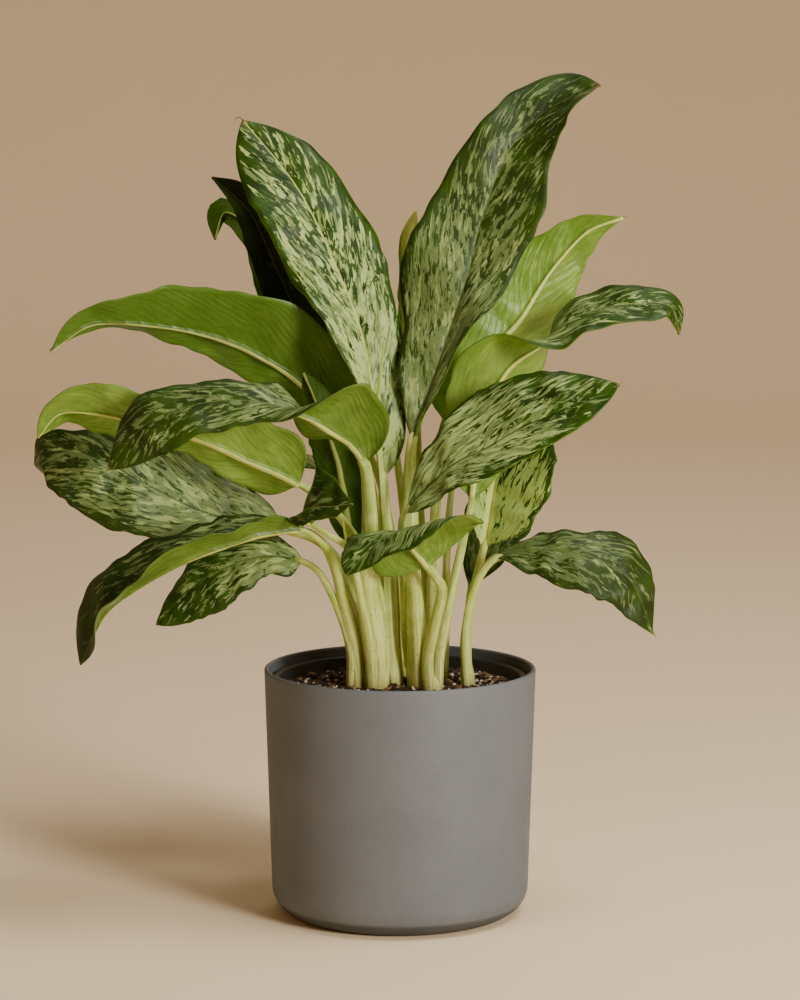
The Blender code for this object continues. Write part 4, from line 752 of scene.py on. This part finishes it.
def makeLinerFinish(v):
    material, shader, place, fine = startSolid("nurseryPotFinish", 0.4, 0.0009, 0.012)
    belowRim = fade(splitVector(place)[2], 0.154, 0.149)
    dusty = fade(times(fine["cloud"], belowRim), 0.3, 0.9, 0.05, 0.55)
    colour = mixColour(dusty, v["colour"], v["dust"])
    finish(shader, colour, fade(dusty, 0, 0.6, 0.42, 0.7), fine["grain"], 0.0001, 0.7)
    return material

def makeCoverPot(v):
    lip = v["wall"] / 2
    innerRound = v["footRound"] - v["wall"]
    profile = [(0, v["floor"])]
    profile += arcPoints(v["footRadius"], v["floor"] + innerRound, (innerRound, innerRound), -90, 0, 12)
    profile += arcPoints(v["rimRadius"] - lip, v["height"] - lip, (lip, lip), 180, 0, 17)
    foot = (v["sideRadius"] - v["footRadius"], v["footRound"])
    profile += arcPoints(v["footRadius"], v["footRound"], foot, 0, -90, 20)
    profile += [(0, 0)]
    keepPiece(turnedPiece("cover_pot_body", profile, v["steps"], makePotFinish(v)), "cover_pot")

linerLow = potValues["floor"] + 0.3  # it stands just clear of the cover pot's floor

def linerRadius(z, v):
    share = (z - linerLow) / (v["rimTop"] - linerLow)
    return v["baseRadius"] + (v["rimRadius"] - v["rimWidth"] - v["baseRadius"]) * share

def makeLiner(v):
    floorTop = linerLow + v["floor"]
    top = v["rimTop"]
    under = top - v["rimDepth"]
    bead = v["wall"] / 2
    profile = [(0, floorTop), (linerRadius(floorTop, v) - v["wall"], floorTop)]
    profile += [(linerRadius(top - 1, v) - v["wall"], top - 1), (linerRadius(top, v) - v["wall"] + 0.3, top)]
    profile += arcPoints(v["rimRadius"] - bead, top - bead, (bead, bead), 90, 0, 8)
    profile += [(v["rimRadius"], under), (v["rimRadius"] - bead, under)]
    profile += [(linerRadius(under, v), under + 0.4), (linerRadius(linerLow, v), linerLow), (0, linerLow)]
    keepPiece(turnedPiece("nursery_pot_body", profile, v["steps"], makeLinerFinish(v)), "nursery_pot")

# Potting soil: a lumpy plug with crumbs of bark, peat and white grit on it

soilValues = dict(
    crown=3, relief=2.2, around=150, rows=64, crumbs=1500, bark=420, grit=260, seed=11, gap=0.3,
    peat=rgb(74, 54, 40), deep=rgb(34, 25, 19), barkTone=rgb(146, 108, 74), gritTone=rgb(224, 206, 178),
)

def soilRadius(z):
    return linerRadius(z, linerValues) - linerValues["wall"] - soilValues["gap"]

def soilHeight(x, y):
    radius = math.hypot(x, y) / soilRadius(soilTop)
    lump = noise.noise(Vector((x, y, 0)) / 9)
    small = noise.noise(Vector((x, y, 4)) / 2.6) * 0.9
    swell = (1 - radius * radius) * (soilValues["crown"] + soilValues["relief"] * lump)
    return soilTop + swell + small * min(1, (1 - radius) * 6)

def makeSoilFinish(v):
    material, shader, place, fine = startSolid("pottingSoilFinish", 0.25, 0.0013, 0.007)
    colour = mixColour(fine["cloud"], v["deep"], v["peat"])
    finish(shader, colour, fade(fine["cloud"], 0, 1, 0.95, 0.8), fine["grain"], 0.0012, 1)
    return material

def makeCrumbFinish(v):
    material, shader, place, fine = startSolid("soilCrumbFinish", 0.3, 0.0008, 0.003)
    kind, shade = splitVector(attributeOf(place.id_data, "crumbKind"))[:2]
    colour = mixColour(shade, v["deep"], v["peat"])
    colour = mixColour(fade(kind, 0.4, 0.6), colour, mixColour(shade, v["peat"], v["barkTone"]))
    colour = mixColour(fade(kind, 1.4, 1.6), colour, v["gritTone"])
    colour = mixColour(times(fine["cloud"], 0.35), colour, v["deep"])
    finish(shader, colour, fade(fine["grain"], 0.2, 0.8, 0.7, 0.95), fine["grain"], 0.0004, 0.9)
    return material

def makeSoil(v):
    edge = soilRadius(soilTop)
    low = linerLow + linerValues["floor"] + v["gap"]
    rings = [(0.5, low), (soilRadius(low), low)]
    rings += [(edge * share, None) for share in np.linspace(1, 0.004, v["rows"] - 2)]
    surface = []
    for radius, height in rings:
        for angle in aroundTurn(v["around"]):
            x, y = radius * math.cos(angle), radius * math.sin(angle)
            surface.append((x, y, height or soilHeight(x, y)))
    mesh = gridMesh("potting_soil_plug", np.array(surface).reshape(v["rows"], -1, 3))
    keepPiece(newPiece("potting_soil_plug", closeTube(mesh), makeSoilFinish(v)), "potting_soil")

# For crumbs, bark and grit in turn: the least and most of their size, stretch and flatness
crumbRanges = (
    ((0.6, 1.7), (0.7, 1.3), (0.5, 0.9)),
    ((1.2, 2.4), (1.3, 2.6), (0.3, 0.5)),
    ((0.7, 1.5), (0.8, 1.2), (0.7, 1)),
)

def turned(a, b, angle):
    return a * math.cos(angle) - b * math.sin(angle), a * math.sin(angle) + b * math.cos(angle)

def makeCrumbs(v):
    rng = random.Random(v["seed"])
    shape = bmesh.new()
    kinds = []
    for kind in [0] * v["crumbs"] + [1] * v["bark"] + [2] * v["grit"]:
        radius = (soilRadius(soilTop) - 3) * math.sqrt(rng.random())
        angle = rng.random() * math.tau
        x, y = radius * math.cos(angle), radius * math.sin(angle)
        if any(math.hypot(x - cx, y - cy) < cr + 1.5 for cx, cy, cr in crownRows.values()):
            continue
        drawn = [[rng.uniform(*ranges[part]) for ranges in crumbRanges][kind] for part in range(3)]
        size, stretch, flat = drawn
        made = bmesh.ops.create_icosphere(shape, subdivisions=1, radius=size)["verts"]
        turnBy, tilt, shade = rng.random() * math.pi, rng.uniform(-0.4, 0.4), rng.random()
        for vertex in made:
            a, b, c = vertex.co * rng.uniform(0.75, 1.2)
            a, c = turned(a * stretch, c * flat, tilt)
            a, b = turned(a, b, turnBy)
            vertex.co = Vector((x + a, y + b, soilHeight(x, y) + size * flat * 0.35 + c)) * mm
            kinds.append((kind, shade, 0))
    crumbs = meshFrom("soil_crumbs", shape)
    addVectors(crumbs, "crumbKind", *np.transpose(kinds))
    piece = newPiece("soil_crumbs", crumbs, makeCrumbFinish(v))
    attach(piece, "root")

makeCoverPot(potValues)
makeLiner(linerValues)
makeSoil(soilValues)
makeCrumbs(soilValues)
print("pots and soil made")

# Floor, light and camera

stageValues = dict(
    flatRadius=2900, edgeRound=1300, height=3600, steps=96,
    tone=rgb(252, 228, 188), farShadeTone=rgb(238, 210, 170),
)
lampRows = dict(  # place, size, power and target
    key_light=((1.3, -1.66, 0.84), 0.6, 50, (0, 0, 0.25)),
    top_light=((0.6, -0.3, 1.9), 0.9, 22, (0, 0, 0.25)),
    back_light=((0.2, 1.7, 2.3), 1.2, 13, (0, 3.1, 0)),
)
lightValues = dict(lampTone=(1, 0.97, 0.93), worldTone=(1, 0.97, 0.94, 1), worldPower=0.14)
cameraValues = dict(place=(0, -2.2, 0.559), downDegrees=7.4, lens=122.5)

def makeStage(v):  # a wide round floor whose far edge curves up
    material, shader, place, fine = startSolid("studioFloorFinish", 0.2, 0.006, 0.4)
    plug(0.85, shader["Roughness"])
    # painted shade: the floor's rising far edge is coloured darker the higher it goes
    rise = fade(splitVector(place)[2], 0, 1.2, 0, 0.9)
    plug(mixColour(plus(rise, times(fine["cloud"], 0.1)), v["tone"], v["farShadeTone"]), shader["Base Color"])
    profile = [(0, 0), (v["flatRadius"], 0)]
    profile += arcPoints(v["flatRadius"], v["edgeRound"], (v["edgeRound"], v["edgeRound"]), -85, 0, 18)
    profile += [(v["flatRadius"] + v["edgeRound"], v["height"])]
    turnedPiece("studio_floor", profile, v["steps"], material)

def makeLights(v):
    for name, (place, size, power, target) in lampRows.items():
        light = bpy.data.lights.new(name, "AREA")
        light.shape = "DISK"
        light.size = size
        light.energy = power
        light.color = v["lampTone"]
        lamp = bpy.data.objects.new(name, light)
        lamp.location = place
        lamp.rotation_euler = (Vector(target) - lamp.location).to_track_quat("-Z", "Y").to_euler()
        bpy.context.scene.collection.objects.link(lamp)
    world = bpy.data.worlds.new("studio_air")
    world.use_nodes = True
    plug(v["worldTone"], world.node_tree.nodes["Background"].inputs[0])
    plug(v["worldPower"], world.node_tree.nodes["Background"].inputs[1])
    bpy.context.scene.world = world

def makeCamera(v):
    lens = bpy.data.cameras.new("photo_view")
    lens.lens = v["lens"]
    lens.sensor_width = 36
    lens.clip_end = 50
    camera = bpy.data.objects.new("photo_view", lens)
    camera.location = v["place"]
    camera.rotation_euler = (math.radians(90 - v["downDegrees"]), 0, 0)
    bpy.context.scene.collection.objects.link(camera)
    bpy.context.scene.camera = camera

makeStage(stageValues)
makeLights(lightValues)
makeCamera(cameraValues)
print("stage set")
